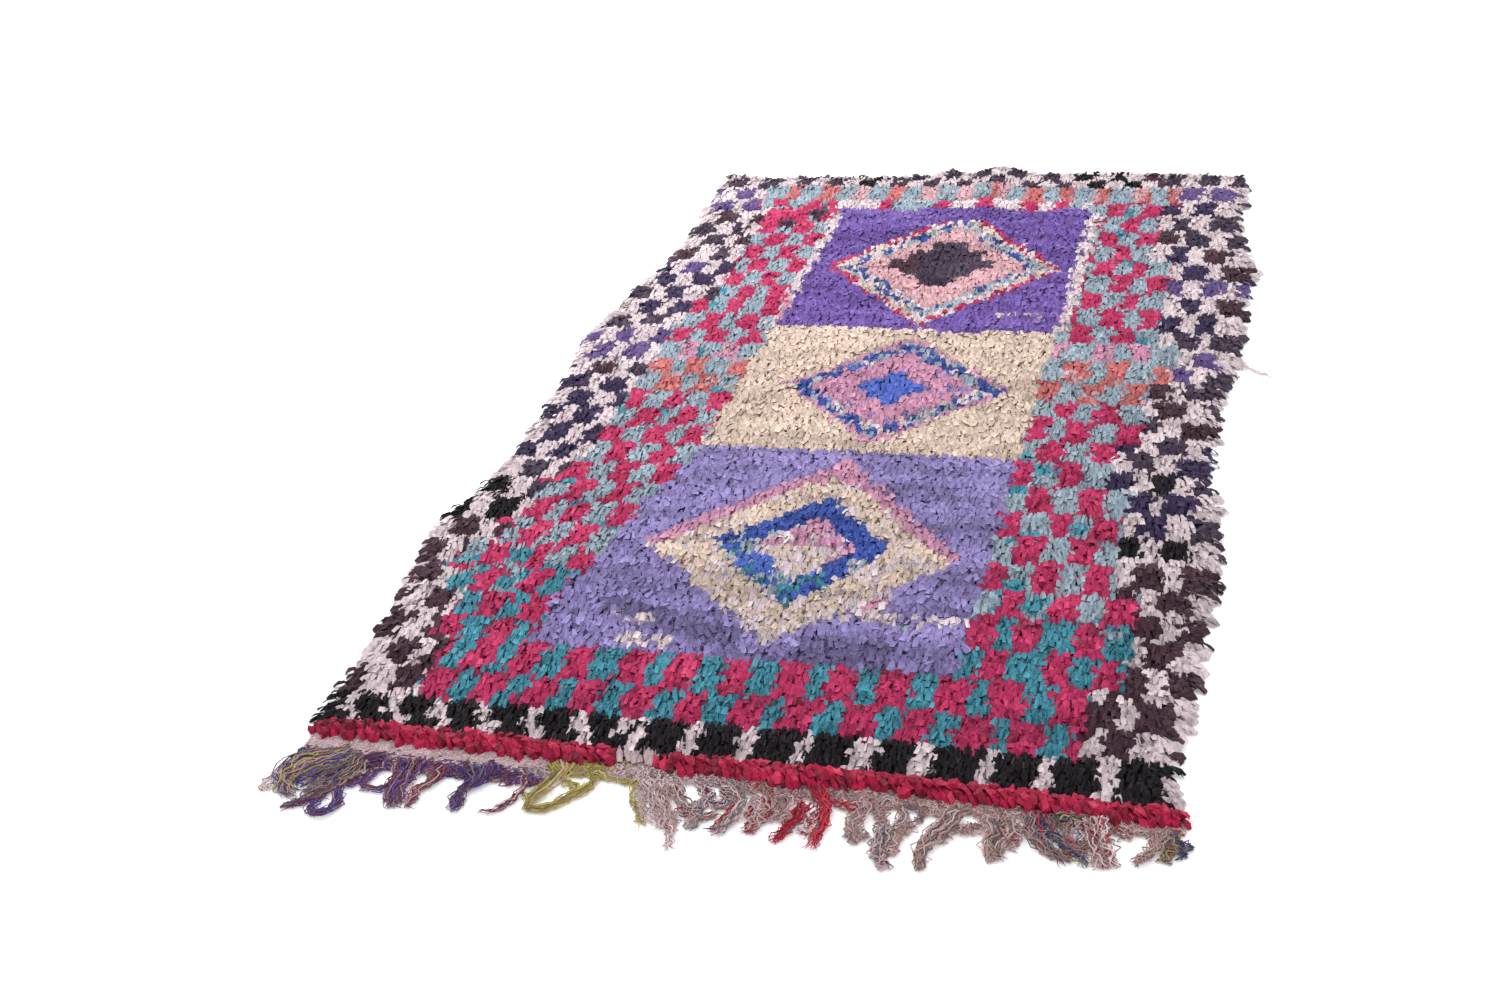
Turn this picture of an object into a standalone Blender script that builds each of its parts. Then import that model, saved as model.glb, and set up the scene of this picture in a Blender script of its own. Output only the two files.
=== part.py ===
"""A boucherouite rug, lying flat: a woven ground, a thick pile of knotted rag strips, two twined courses
of red rag along the near end, the warp ends as a fringe, and a loose yarn tuft on the right selvedge.

Metres, +Z up. The origin is on the floor under the middle of the rug, +Y runs away from the fringed end.
"along" is the distance from the front of the red courses, so y = along - MIDDLE.
"""

import math
import random

import bmesh
import bpy
from mathutils import Vector, noise
from mathutils.geometry import delaunay_2d_cdt

# Driving dimensions of the ground
MIDDLE = 1.165
GAP = 0.0003
GROUND_THICK = 0.0028
NEAR_EDGE = -0.033
GROUND_PITCH = 0.052
SETTLE = 0.0006
FAR_SPREAD = 0.002

# Driving dimensions of the pile. Heights are above the ground
PILE_NEAR = 0.047
PILE_SHORT_OF_FAR = 0.046
PILE_LOW = 0.0115
PILE_HIGH = 0.0245
PILE_RIM = 0.0090
PARTING_AT = -0.004
PARTING_WIDTH = 0.016
PARTING_DEPTH = 0.004
LUMP_PITCH = 0.041
LUMP_ROW = 0.88 * LUMP_PITCH
LUMP_SHIFT = 0.21 * LUMP_PITCH
LUMP_MARGIN = 0.62 * LUMP_PITCH

# Driving dimensions of the locks at the pile's rim
LOCK_PITCH = 0.024
LOCK_REACH = (0.014, 0.030)
LOCK_SWAY = 0.15
LOCK_MIDDLE = (0.55, 0.82, 0.0078, 0.0022)
LOCK_END = (1.0, 0.34, 0.0036, 0.0004)
LOCK_CLEAR = 0.0009

# Driving dimensions of the fringe
FRINGE_STRIP = 0.008
FRINGE_PITCH = 0.0122
FRINGE_ROOT = 0.0074
FRINGE_TIP = 0.0026
FRINGE_THICK = 0.0042
FRINGE_THINS = 0.45
FRINGE_STEPS = 3
FRINGE_BEND = 0.006

# Driving dimensions of the red courses
COURSE_DEPTH = 0.040
COURSE_HEIGHT = 0.0175
COURSE_TWIST = 0.046
COURSE_STATION = 0.0115
COURSE_SIDES = 9
COURSE_LUMP = 0.16
COURSE_TAPER = 0.030

# Driving dimensions of the yarn tuft
YARN_AT = 1.345
YARN_KNOT = (0.006, 0.016)
YARN_ROOT = 0.0032
YARN_TIP = 0.0018
YARN_CLEAR = 0.05

# The two selvedges: how far along, then the left and right edge of the ground
SELVEDGES = (
    (-0.04, -0.640, 0.645),
    (0.15, -0.640, 0.632),
    (0.30, -0.648, 0.648),
    (0.45, -0.668, 0.648),
    (0.62, -0.685, 0.658),
    (0.76, -0.652, 0.650),
    (0.94, -0.642, 0.625),
    (1.12, -0.646, 0.636),
    (1.40, -0.676, 0.655),
    (1.60, -0.652, 0.664),
    (1.80, -0.618, 0.668),
    (1.96, -0.612, 0.640),
    (2.15, -0.620, 0.636),
    (2.34, -0.632, 0.642),
)

# The far end of the ground: x, then how far along it ends. Its corners are about this far along
FAR_CORNERS = 2.30
FAR_END = (
    (-0.70, 2.350),
    (-0.62, 2.345),
    (-0.53, 2.325),
    (-0.40, 2.336),
    (-0.20, 2.341),
    (-0.05, 2.364),
    (0.10, 2.370),
    (0.40, 2.372),
    (0.60, 2.362),
    (0.70, 2.345),
)

# Folds that lift the cloth towards the far end: x of the crest, half-width, height at the far end,
# and how far along the lift begins
FOLDS = (
    (0.062, 0.052, 0.021, 1.72),
    (-0.060, 0.036, 0.010, 1.98),
)
FOLD_END = 2.36
FOLD_OPENS = 1.6
FOLD_GRID = (0.030, 0.046)
FOLD_REACH = 0.20
FOLD_GRID_FAR = 2.26

# Bunches of fringe: root x, tip x, how far along the tips lie, and how much their locks draw together
BUNCHES = (
    (-0.620, -0.640, -0.125, 0.55),
    (-0.560, -0.585, -0.158, 0.50),
    (-0.505, -0.515, -0.095, 0.60),
    (-0.440, -0.430, -0.142, 0.45),
    (-0.385, -0.385, -0.082, 0.70),
    (-0.335, -0.350, -0.138, 0.40),
    (-0.275, -0.300, -0.130, 0.45),
    (-0.215, -0.232, -0.117, 0.55),
    (-0.150, -0.152, -0.062, 0.90),
    (-0.098, -0.096, -0.108, 0.50),
    (-0.050, -0.040, -0.150, 0.50),
    (0.010, 0.018, -0.118, 0.60),
    (0.062, 0.064, -0.128, 0.55),
    (0.122, 0.124, -0.132, 0.50),
    (0.176, 0.180, -0.136, 0.45),
    (0.235, 0.237, -0.104, 0.60),
    (0.290, 0.285, -0.158, 0.40),
    (0.348, 0.338, -0.148, 0.42),
    (0.415, 0.412, -0.118, 0.55),
    (0.470, 0.472, -0.090, 0.75),
    (0.522, 0.526, -0.112, 0.50),
    (0.572, 0.576, -0.114, 0.50),
    (0.625, 0.640, -0.088, 0.60),
)

# The two red courses: name, and the x of their ends
RED_COURSES = (
    ("red_course_left", -0.655, -0.145),
    ("red_course_right", -0.098, 0.662),
)

# The yarn tuft's ends: the wall of the knot each leaves, then its tip's offset in x and along
YARN_ENDS = ((1, 0.062, -0.040), (3, 0.030, -0.004), (5, 0.026, 0.018))

random.seed(7)


def eased(table, at, column=1):
    """The table's column at a place in its first column, running smoothly from row to row."""
    if at <= table[0][0]:
        return table[0][column]
    for low, high in zip(table, table[1:]):
        if at <= high[0]:
            t = (at - low[0]) / (high[0] - low[0])
            t = t * t * (3 - 2 * t)
            return low[column] + (high[column] - low[column]) * t
    return table[-1][column]


def left_edge(along):
    return eased(SELVEDGES, along, 1)


def right_edge(along):
    return eased(SELVEDGES, along, 2)


def far_edge(x):
    return eased(FAR_END, x)


def pile_far_edge(x):
    return far_edge(x) - PILE_SHORT_OF_FAR


def lift(x, along):
    """How far the cloth is off the floor: two low folds that open towards the far end."""
    total = 0.0
    for crest, half_width, height, start in FOLDS:
        t = min(max((along - start) / (FOLD_END - start), 0.0), 1.0)
        total += height * t ** FOLD_OPENS * math.exp(-(((x - crest) / half_width) ** 2))
    return max(0.0, total - SETTLE)


def place(x, along, z):
    return Vector((x, along - MIDDLE, z))


def spaced(start, end, pitch):
    """Evenly spaced values from start to end, both included, about pitch apart."""
    count = max(1, round(abs(end - start) / pitch))
    return [start + (end - start) * i / count for i in range(count + 1)]


def pile_sides():
    """The pile's outline as four rows of (x, along) that share their corners: near, right, far, left."""
    near = [(x, PILE_NEAR) for x in spaced(left_edge(PILE_NEAR), right_edge(PILE_NEAR), LOCK_PITCH)]
    far_right = pile_far_edge(right_edge(FAR_CORNERS))
    far_left = pile_far_edge(left_edge(FAR_CORNERS))
    right = [(right_edge(a), a) for a in spaced(PILE_NEAR, far_right, LOCK_PITCH)]
    across = spaced(right_edge(far_right), left_edge(far_left), LOCK_PITCH)
    far = [right[-1]] + [(x, pile_far_edge(x)) for x in across[1:-1]]
    left = [(left_edge(a), a) for a in spaced(far_left, PILE_NEAR, LOCK_PITCH)]
    far.append(left[0])
    left[-1] = near[0]
    return near, right, far, left


def pile_outline():
    """The pile's outline, counter-clockwise from the near left corner."""
    return [spot for side in pile_sides() for spot in side[:-1]]


def ground_outline():
    """The ground's outline. Along the selvedges it has the pile's own points."""
    right, left = pile_sides()[1::2]
    near = [(x, NEAR_EDGE) for x in spaced(left_edge(NEAR_EDGE), right_edge(NEAR_EDGE), GROUND_PITCH)]
    across = spaced(right[-1][0] + FAR_SPREAD, left[0][0] - FAR_SPREAD, LOCK_PITCH)
    return near + right + [(x, far_edge(x)) for x in across] + left


def fold_points():
    """Staggered points over the folds, so that every layer of the cloth bends along the same lines."""
    step_x, step_y = FOLD_GRID
    found = []
    for row, along in enumerate(spaced(FOLDS[0][3] - step_y, FOLD_GRID_FAR, step_y)):
        shift = step_x / 2 if row % 2 else 0.0
        columns = round(2 * FOLD_REACH / step_x)
        found += [(-FOLD_REACH + shift + k * step_x, along) for k in range(columns)]
    return found


def add_sheet(mesh, rim, inside, height, creases=()):
    """A triangulated sheet in the mesh at height(x, along), facing up, bounded by the rim. Each crease is a
    row of points that the triangles follow. Returns the vertices of the rim."""
    points = list(rim) + list(inside)
    edges = [(i, (i + 1) % len(rim)) for i in range(len(rim))]
    places = {spot: index for index, spot in enumerate(points)}
    for crease in creases:
        for spot in crease:
            if spot not in places:
                places[spot] = len(points)
                points.append(spot)
        edges += [(places[one], places[two]) for one, two in zip(crease, crease[1:])]
    flat, _, faces, sources, _, _ = delaunay_2d_cdt([Vector(p) for p in points], edges, [], 1, 1e-6)
    verts = [mesh.verts.new(place(p[0], p[1], height(p[0], p[1]))) for p in flat]
    for face in faces:
        made = mesh.faces.new([verts[i] for i in face])
        made.normal_update()
        if made.normal.z < 0:
            made.normal_flip()
    of_source = {s: verts[i] for i, found in enumerate(sources) for s in found}
    return [of_source[i] for i in range(len(rim))]


def join_rims(mesh, lower, upper):
    """Side walls between two rings of vertices. Returns one face for each edge of the rings."""
    count = len(lower)
    return [
        mesh.faces.new((lower[i], lower[(i + 1) % count], upper[(i + 1) % count], upper[i]))
        for i in range(count)
    ]


def turn_over(mesh):
    """Flips every face that the mesh has so far."""
    for face in mesh.faces:
        face.normal_flip()


def grow_lock(mesh, wall, rings):
    """Draws a lock out of a wall face. Each ring holds the four corners in the wall's own order."""
    face = wall
    for corners in rings:
        made = bmesh.ops.extrude_discrete_faces(mesh, faces=[face])
        face = made["faces"][0]
        for corner, spot in zip(face.verts, corners):
            corner.co = spot


def lock_ring(spot, side, width, low, thick):
    """Four corners across a lock, lower ones first, in the order of join_rims. The spot is (x, along), and
    low is the height of the lock's underside over the floor, or over the underside of the lifted cloth."""
    corners = []
    for sign, height in ((-1, low), (1, low), (1, low + thick), (-1, low + thick)):
        x = spot[0] + sign * side.x * width / 2
        along = spot[1] + sign * side.y * width / 2
        corners.append(place(x, along, lift(x, along) + height))
    return corners


def material(name, colour, roughness=0.9):
    made = bpy.data.materials.new(name)
    made.use_nodes = True
    shader = made.node_tree.nodes["Principled BSDF"]
    shader.inputs["Base Color"].default_value = (*colour, 1.0)
    shader.inputs["Roughness"].default_value = roughness
    shader.inputs["Metallic"].default_value = 0.0
    made.diffuse_color = (*colour, 1.0)
    return made


def finish(mesh, name, surface, parent):
    """Turns the mesh into a named object."""
    bmesh.ops.recalc_face_normals(mesh, faces=mesh.faces)
    bmesh.ops.triangulate(mesh, faces=mesh.faces)
    data = bpy.data.meshes.new(name)
    mesh.to_mesh(data)
    mesh.free()
    data.materials.append(surface)
    obj = bpy.data.objects.new(name, data)
    bpy.context.scene.collection.objects.link(obj)
    obj.parent = parent
    return obj


def make_ground(parent):
    """The woven ground, from the flat end in front of the red courses to the flat end behind the pile."""
    mesh = bmesh.new()
    rim = ground_outline()
    creases = pile_sides()[0::2]
    inside = fold_points()
    lower = add_sheet(mesh, rim, inside, lift, creases)
    turn_over(mesh)
    upper = add_sheet(mesh, rim, inside, lambda x, a: lift(x, a) + GROUND_THICK, creases)
    join_rims(mesh, lower, upper)
    return finish(mesh, "ground_weave", material("ground_cotton", (0.62, 0.53, 0.46)), parent)


def lump_height(x, along):
    """The pile's height above the ground: lumps of rag, with a parting along the middle fold."""
    lump = 0.5 + 0.9 * noise.noise(Vector((x * 61, along * 57, 2.0)))
    broad = 0.5 + 0.5 * noise.noise(Vector((x * 5, along * 5, 9.0)))
    share = min(1.0, max(0.0, 0.8 * lump + 0.2 * broad))
    parting = PARTING_DEPTH * math.exp(-(((x - PARTING_AT) / PARTING_WIDTH) ** 2))
    return PILE_LOW + (PILE_HIGH - PILE_LOW) * share - parting


def pile_lumps():
    """Points for the top of the pile: a jittered, staggered grid kept clear of the rim."""
    found = []
    columns = round((SELVEDGES[4][2] - SELVEDGES[4][1]) / LUMP_PITCH) + 2
    for row, along in enumerate(spaced(PILE_NEAR + LUMP_MARGIN, FAR_CORNERS, LUMP_ROW)):
        first = SELVEDGES[4][1] + (LUMP_PITCH / 2 if row % 2 else 0.0)
        for k in range(columns):
            px = first + k * LUMP_PITCH + random.uniform(-LUMP_SHIFT, LUMP_SHIFT)
            pa = along + random.uniform(-LUMP_SHIFT, LUMP_SHIFT)
            inside = left_edge(pa) + LUMP_MARGIN < px < right_edge(pa) - LUMP_MARGIN
            if inside and PILE_NEAR + LUMP_MARGIN / 2 < pa < pile_far_edge(px) - LUMP_MARGIN:
                found.append((px, pa))
    return found


def rim_lock(first, second, base):
    """The rings of a lock of rag that stands out from the rim between two of its points."""
    side = Vector((second[0] - first[0], second[1] - first[1]))
    pitch = side.length
    side.normalize()
    outward = Vector((side.y, -side.x))
    middle = (Vector(first) + Vector(second)) / 2
    reach = random.uniform(*LOCK_REACH)
    sway = side * random.uniform(-LOCK_SWAY, LOCK_SWAY) * pitch
    over_ground = outward.y > 0.7
    rings = []
    for step, (out, wide, thick, low) in enumerate((LOCK_MIDDLE, LOCK_END)):
        spot = middle + outward * reach * out + sway * (step + 1)
        height = base + LOCK_CLEAR if over_ground else low
        rings.append(lock_ring(spot, side, wide * pitch, height, thick))
    return rings


def make_pile(parent):
    """The rag pile: a lumpy slab on the ground, with locks of rag standing out round its rim."""
    mesh = bmesh.new()
    rim = pile_outline()
    base = GROUND_THICK + GAP
    lower = add_sheet(mesh, rim, fold_points(), lambda x, a: lift(x, a) + base)
    turn_over(mesh)
    on_rim = {(round(x, 5), round(a, 5)) for x, a in rim}

    def top(x, along):
        if (round(x, 5), round(along, 5)) in on_rim:
            return lift(x, along) + base + PILE_RIM
        return lift(x, along) + base + lump_height(x, along)

    upper = add_sheet(mesh, rim, pile_lumps(), top)
    walls = join_rims(mesh, lower, upper)
    for index, wall in enumerate(walls):
        first, second = rim[index], rim[(index + 1) % len(rim)]
        at_near_end = min(first[1], second[1]) < PILE_NEAR + LOCK_PITCH
        by_the_yarn = first[0] > 0 and abs(first[1] - YARN_AT) < YARN_CLEAR
        if not (index % 2 or at_near_end or by_the_yarn):
            grow_lock(mesh, wall, rim_lock(first, second, base))
    return finish(mesh, "rag_pile", material("rag_pile", (0.55, 0.33, 0.45)), parent)


def course_section(x, taper, base):
    """One cross-section of a red course: a low arch whose two strands rise and fall along it."""
    phase = 2 * math.pi * x / COURSE_TWIST
    wander = 0.0025 * math.sin(x * 9.0) + 0.0012 * math.sin(x * 31.0)
    middle = COURSE_DEPTH / 2 + 4 * GAP + wander
    spots = []
    for k in range(COURSE_SIDES):
        turn = math.pi * k / (COURSE_SIDES - 1)
        strand = math.sin(2 * phase + 2.4 * turn)
        swell = 1.0 + COURSE_LUMP * strand + 0.3 * COURSE_LUMP * math.sin(5 * phase)
        along = middle - math.cos(turn) * COURSE_DEPTH / 2 * taper * (0.9 + 0.1 * swell)
        height = max(0.0, math.sin(turn) * COURSE_HEIGHT * taper * swell)
        slant = 0.1 * COURSE_DEPTH * math.cos(turn)
        spots.append(place(x + slant, along, base + height))
    return spots


def make_red_course(name, start, end, surface, parent):
    """One twined course of red rag: a low roll on the ground, its two strands showing as slanting lumps."""
    mesh = bmesh.new()
    rings = []
    for x in spaced(start, end, COURSE_STATION):
        taper = 0.45 + 0.55 * min(1.0, min(x - start, end - x) / COURSE_TAPER)
        rings.append([mesh.verts.new(v) for v in course_section(x, taper, GROUND_THICK + GAP)])
    for one, two in zip(rings, rings[1:]):
        for k in range(COURSE_SIDES):
            after = (k + 1) % COURSE_SIDES
            mesh.faces.new((one[k], one[after], two[after], two[k]))
    mesh.faces.new(rings[0])
    mesh.faces.new(list(reversed(rings[-1])))
    return finish(mesh, name, surface, parent)


def nearest_bunch(x):
    return min(BUNCHES, key=lambda row: abs(row[0] - x))


def fringe_lock(x, front):
    """The rings of one lock of fringe, from its root at (x, front) to its tip."""
    root, tip, reach, draw = nearest_bunch(x)
    end_x = tip + (x - root) * draw
    bend = FRINGE_BEND * math.sin(root * 57.0)
    rings = []
    previous = Vector((x, front))
    for k in range(1, FRINGE_STEPS + 1):
        t = k / FRINGE_STEPS
        ease = t * t * (3 - 2 * t)
        spot = Vector((
            x + (end_x - x) * ease + bend * math.sin(math.pi * t),
            front + (reach - front) * t,
        ))
        heading = (spot - previous).normalized()
        side = Vector((-heading.y, heading.x))
        width = FRINGE_ROOT + (FRINGE_TIP - FRINGE_ROOT) * t ** 1.5
        rings.append(lock_ring(spot, side, width, 0.0, FRINGE_THICK * (1 - FRINGE_THINS * t)))
        previous = spot
    return rings


def add_strip(mesh, rim):
    """A flat strip of the ground's thickness, on the floor. Returns its side walls."""
    lower = add_sheet(mesh, rim, [], lambda x, a: 0.0)
    turn_over(mesh)
    upper = add_sheet(mesh, rim, [], lambda x, a: GROUND_THICK)
    return join_rims(mesh, lower, upper)


def make_fringe(parent):
    """The warp ends: locks lying on the floor, their roots in a narrow strip along the ground's near edge."""
    mesh = bmesh.new()
    back = NEAR_EDGE - GAP
    front = back - FRINGE_STRIP
    left, right = left_edge(NEAR_EDGE), right_edge(NEAR_EDGE)
    count = int((right - left) / FRINGE_PITCH)
    margin = (right - left - count * FRINGE_PITCH) / 2
    cuts = [left]
    roots = {}
    for k in range(count):
        centre = left + margin + (k + 0.5) * FRINGE_PITCH
        cuts.append(centre - FRINGE_ROOT / 2)
        if nearest_bunch(centre - FRINGE_PITCH) is nearest_bunch(centre):
            roots[len(cuts) - 1] = centre
        cuts.append(centre + FRINGE_ROOT / 2)
    cuts.append(right)
    walls = add_strip(mesh, [(x, front) for x in cuts] + [(x, back) for x in reversed(cuts)])
    for index, centre in roots.items():
        grow_lock(mesh, walls[index], fringe_lock(centre, front))
    return finish(mesh, "warp_fringe", material("warp_yarn", (0.58, 0.50, 0.47)), parent)


def make_yarn_tuft(parent):
    """A loose yarn tuft on the right selvedge: three ends drawn out of a small knot that lies at the edge."""
    mesh = bmesh.new()
    deep, wide = YARN_KNOT
    low, high = YARN_AT - wide / 2, YARN_AT + wide / 2
    inner = max(right_edge(low), right_edge(high)) + 2 * GAP
    outer = inner + deep
    rim = [(inner, low)] + [(outer, a) for a in spaced(low, high, wide / 5)] + [(inner, high)]
    walls = add_strip(mesh, rim)
    for index, dx, da in YARN_ENDS:
        root = (Vector(rim[index]) + Vector(rim[index + 1])) / 2
        rings = []
        for t in (0.35, 0.7, 1.0):
            spot = root + Vector((dx * t, da * t * t))
            side = Vector((-da * t, dx)).normalized()
            width = YARN_ROOT + (YARN_TIP - YARN_ROOT) * t
            rings.append(lock_ring(spot, side, width, 0.0, width))
        grow_lock(mesh, walls[index], rings)
    return finish(mesh, "selvedge_yarn", material("pale_yarn", (0.72, 0.66, 0.64)), parent)


def main():
    for obj in list(bpy.data.objects):
        bpy.data.objects.remove(obj)
    rug = bpy.data.objects.new("boucherouite_rug", None)
    bpy.context.scene.collection.objects.link(rug)
    make_ground(rug)
    make_pile(rug)
    red = material("red_rag", (0.60, 0.06, 0.13), 0.85)
    for name, start, end in RED_COURSES:
        make_red_course(name, start, end, red, rug)
    make_fringe(rug)
    make_yarn_tuft(rug)


main()
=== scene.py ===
import math

import bpy
import numpy as np
from mathutils import Matrix, Vector


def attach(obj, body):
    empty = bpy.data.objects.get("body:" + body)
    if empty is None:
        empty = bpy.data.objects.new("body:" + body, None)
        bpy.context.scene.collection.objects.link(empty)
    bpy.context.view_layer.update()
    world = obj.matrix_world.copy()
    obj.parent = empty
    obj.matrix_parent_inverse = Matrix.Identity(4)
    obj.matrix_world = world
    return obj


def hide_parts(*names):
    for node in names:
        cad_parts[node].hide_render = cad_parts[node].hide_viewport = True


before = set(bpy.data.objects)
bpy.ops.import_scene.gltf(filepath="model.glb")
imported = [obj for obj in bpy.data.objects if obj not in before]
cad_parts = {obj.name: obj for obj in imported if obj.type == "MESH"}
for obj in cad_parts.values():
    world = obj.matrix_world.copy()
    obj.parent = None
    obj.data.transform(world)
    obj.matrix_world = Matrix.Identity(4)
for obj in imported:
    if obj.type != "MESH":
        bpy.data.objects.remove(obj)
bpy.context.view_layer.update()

# All places are (x, along, height) in metres. Along runs from the front of the red courses to the far end,
# and a mesh's y is along - MIDDLE.
MIDDLE = 1.165
GROUND_TOP = 0.0028
rng = np.random.default_rng(20)

# How far along, then the left and right selvedge
SELVEDGES = np.array((
    (-0.04, -0.640, 0.645), (0.15, -0.640, 0.632), (0.30, -0.648, 0.648), (0.45, -0.668, 0.648),
    (0.62, -0.685, 0.658), (0.76, -0.652, 0.650), (0.94, -0.642, 0.625), (1.12, -0.646, 0.636),
    (1.40, -0.676, 0.655), (1.60, -0.652, 0.664), (1.80, -0.618, 0.668), (1.96, -0.612, 0.640),
    (2.15, -0.620, 0.636), (2.34, -0.632, 0.642),
))
# x, then how far along the ground ends
FAR_END = np.array((
    (-0.70, 2.350), (-0.62, 2.345), (-0.53, 2.325), (-0.40, 2.336), (-0.20, 2.341),
    (-0.05, 2.364), (0.10, 2.370), (0.40, 2.372), (0.60, 2.362), (0.70, 2.345),
))
# x, then how far along the flat-woven near end begins
NEAR_END = np.array((
    (-0.64, -0.040), (-0.50, -0.046), (-0.30, -0.044), (-0.23, -0.026), (-0.10, -0.024),
    (0.02, -0.012), (0.30, -0.016), (0.66, -0.014),
))
# Folds that lift the cloth towards the far end: crest x, half-width, height, where the lift begins
FOLDS = ((0.062, 0.052, 0.021, 1.72), (-0.060, 0.036, 0.010, 1.98))
FOLD_END = 2.36


# Small helpers
def smooth(t):
    return t * t * (3 - 2 * t)


def eased(table, at, column=1):
    """A table's column at places in its first column, running smoothly from row to row."""
    at = np.asarray(at, float)
    k = np.clip(np.searchsorted(table[:, 0], at) - 1, 0, len(table) - 2)
    t = smooth(np.clip((at - table[k, 0]) / (table[k + 1, 0] - table[k, 0]), 0, 1))
    return table[k, column] + (table[k + 1, column] - table[k, column]) * t


def within(value, low, high):
    return (value > low) & (value < high)


def skew(x, along):
    """How much nearer the rows run towards the right of the near end."""
    return -0.012 * np.clip((x - 0.10) / 0.55, 0, 1) ** 1.3 * np.clip(1 - along / 0.7, 0, 1)


def lift(x, along):
    """How far the cloth is off the floor."""
    total = np.zeros(np.broadcast(x, along).shape)
    for crest, half_width, height, start in FOLDS:
        t = np.clip((along - start) / (FOLD_END - start), 0, 1)
        total = total + height * t ** 1.6 * np.exp(-(((x - crest) / half_width) ** 2))
    return np.maximum(0, total - 0.0006)


def pick(i, j, seed):
    """A fixed random number from 0 to 1 for each pair of whole numbers."""
    grid = np.random.default_rng(seed).random((256, 256))
    return grid[np.asarray(i).astype(int) % 256, np.asarray(j).astype(int) % 256]


def smooth_noise(x, y, pitch, seed):
    """Smooth noise from 0 to 1 with lumps about pitch apart."""
    gx, gy = np.asarray(x) / pitch + 64.3, np.asarray(y) / pitch + 64.7
    ix, iy = np.floor(gx).astype(int), np.floor(gy).astype(int)
    fx, fy = smooth(gx - ix), smooth(gy - iy)
    a, b, c, d = (pick(ix + across, iy + along, seed) for along in (0, 1) for across in (0, 1))
    return (a * (1 - fx) + b * fx) * (1 - fy) + (c * (1 - fx) + d * fx) * fy


def mixed_yarns(mix, count):
    """The names of so many yarns, drawn by their shares in a mix."""
    names, shares = zip(*mix.items())
    return rng.choice(names, count, p=np.array(shares) / sum(shares))


def tones(mean, spread, count):
    """How pale each of so many strips or yarns is, from 0 to 1."""
    return np.clip(rng.normal(mean, spread, count), 0.02, 0.98)


def linear(rgb):
    """A 0-255 screen colour as the linear RGBA that a shader takes."""
    c = np.array(rgb) / 255
    c = np.where(c <= 0.04045, c / 12.92, ((c + 0.055) / 1.055) ** 2.4)
    return (*c, 1.0)


# The pattern: the yarns' colours as 0-255 screen values, then where each yarn lies
SHADES = dict(
    cream=(228, 209, 213), black=(20, 9, 20), brown=(72, 40, 55), navy=(55, 38, 78), purple=(104, 80, 138),
    charcoal=(67, 49, 71), crimson=(194, 45, 97), teal=(71, 151, 171), mist=(160, 177, 190),
    lilac=(147, 132, 189), violet=(114, 83, 165), straw=(225, 201, 184), pink=(208, 147, 176),
    peach=(216, 168, 173), coral=(207, 111, 111), blue=(59, 86, 173),
)
YARNS = tuple(SHADES)
(CREAM, BLACK, BROWN, NAVY, PURPLE, CHARCOAL, CRIMSON, TEAL, MIST, LILAC, VIOLET, STRAW, PINK, PEACH, CORAL,
 BLUE) = range(len(YARNS))
# How far along the fields begin, the first and the second of them end, and the chequers end
FIELDS_FROM, FIRST_TO, SECOND_TO, CHEQUER_TO = 0.285, 0.945, 1.485, 2.20
# Rows across the near end, up to how far along: cream and black, then two rows of reds
LOW_BLACKS_TO, BLACKS_TO, LOW_REDS_TO, REDS_TO = 0.088, 0.128, 0.203, 0.287
# Rows across the far end, up to how far along: pale and red, then two edge rows
MISTS_TO, EDGE_ROW_TO = 2.29, 2.33

# Between the chequers and the fields on the left, and the same line on the right
INNER_LEFT = np.array((
    (0.28, -0.398), (0.45, -0.396), (0.52, -0.368), (0.72, -0.345), (0.82, -0.322), (0.93, -0.300),
    (1.48, -0.300), (2.20, -0.305),
))
INNER_RIGHT = 0.302
# Outer edges of the chequers: how far along, then how far out on the left and on the right
OUTER = np.array((
    (0.28, 0.545, 0.545), (0.50, 0.622, 0.534), (0.70, 0.573, 0.528), (0.95, 0.510, 0.487),
    (1.28, 0.512, 0.525), (1.77, 0.482, 0.510), (2.00, 0.468, 0.472), (2.20, 0.490, 0.490),
))
# Each border's sides: how far along and how many rows up to there, then the first middle, the spacing and the
# half-width of its blocks. The chequers' middles count from their inner edge.
CHECKS = {
    -1: (((0.267, 0), (1.614, 17.89), (1.615, 19.0), (2.20, 26.77)), 0.0645, 0.085, 0.0212),
    1: (((0.276, 0), (2.20, 23.1)), 0.0575, 0.087, 0.0212),
}
BLOCKS = {
    -1: (((0.127, 0), (2.38, 30.5)), 0.565, 0.083, 0.0235),
    1: (((0.127, 0), (1.464, 18.5), (2.372, 28.9)), 0.563, 0.079, 0.0235),
}
# Yarns of the dark blocks, each group up to how far along
DARKS = {
    -1: (
        (0.65, BROWN), (0.86, BLACK, CHARCOAL), (1.24, NAVY), (1.30, BROWN, CHARCOAL), (1.44, PURPLE),
        (1.50, BROWN, CHARCOAL), (1.69, NAVY, CHARCOAL), (1.79, PURPLE, NAVY), (2.14, CHARCOAL, BROWN),
        (2.25, PURPLE), (2.40, CHARCOAL),
    ),
    1: (
        (0.65, BROWN), (0.90, BLACK, CHARCOAL, NAVY), (1.06, NAVY, CHARCOAL), (1.25, CHARCOAL, BROWN),
        (1.48, PURPLE, CHARCOAL), (1.70, NAVY, BROWN), (1.80, CHARCOAL, PURPLE), (1.95, NAVY, BROWN),
        (2.10, CHARCOAL, BROWN), (2.20, CHARCOAL, NAVY), (2.29, PURPLE), (2.40, CHARCOAL),
    ),
}
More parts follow.
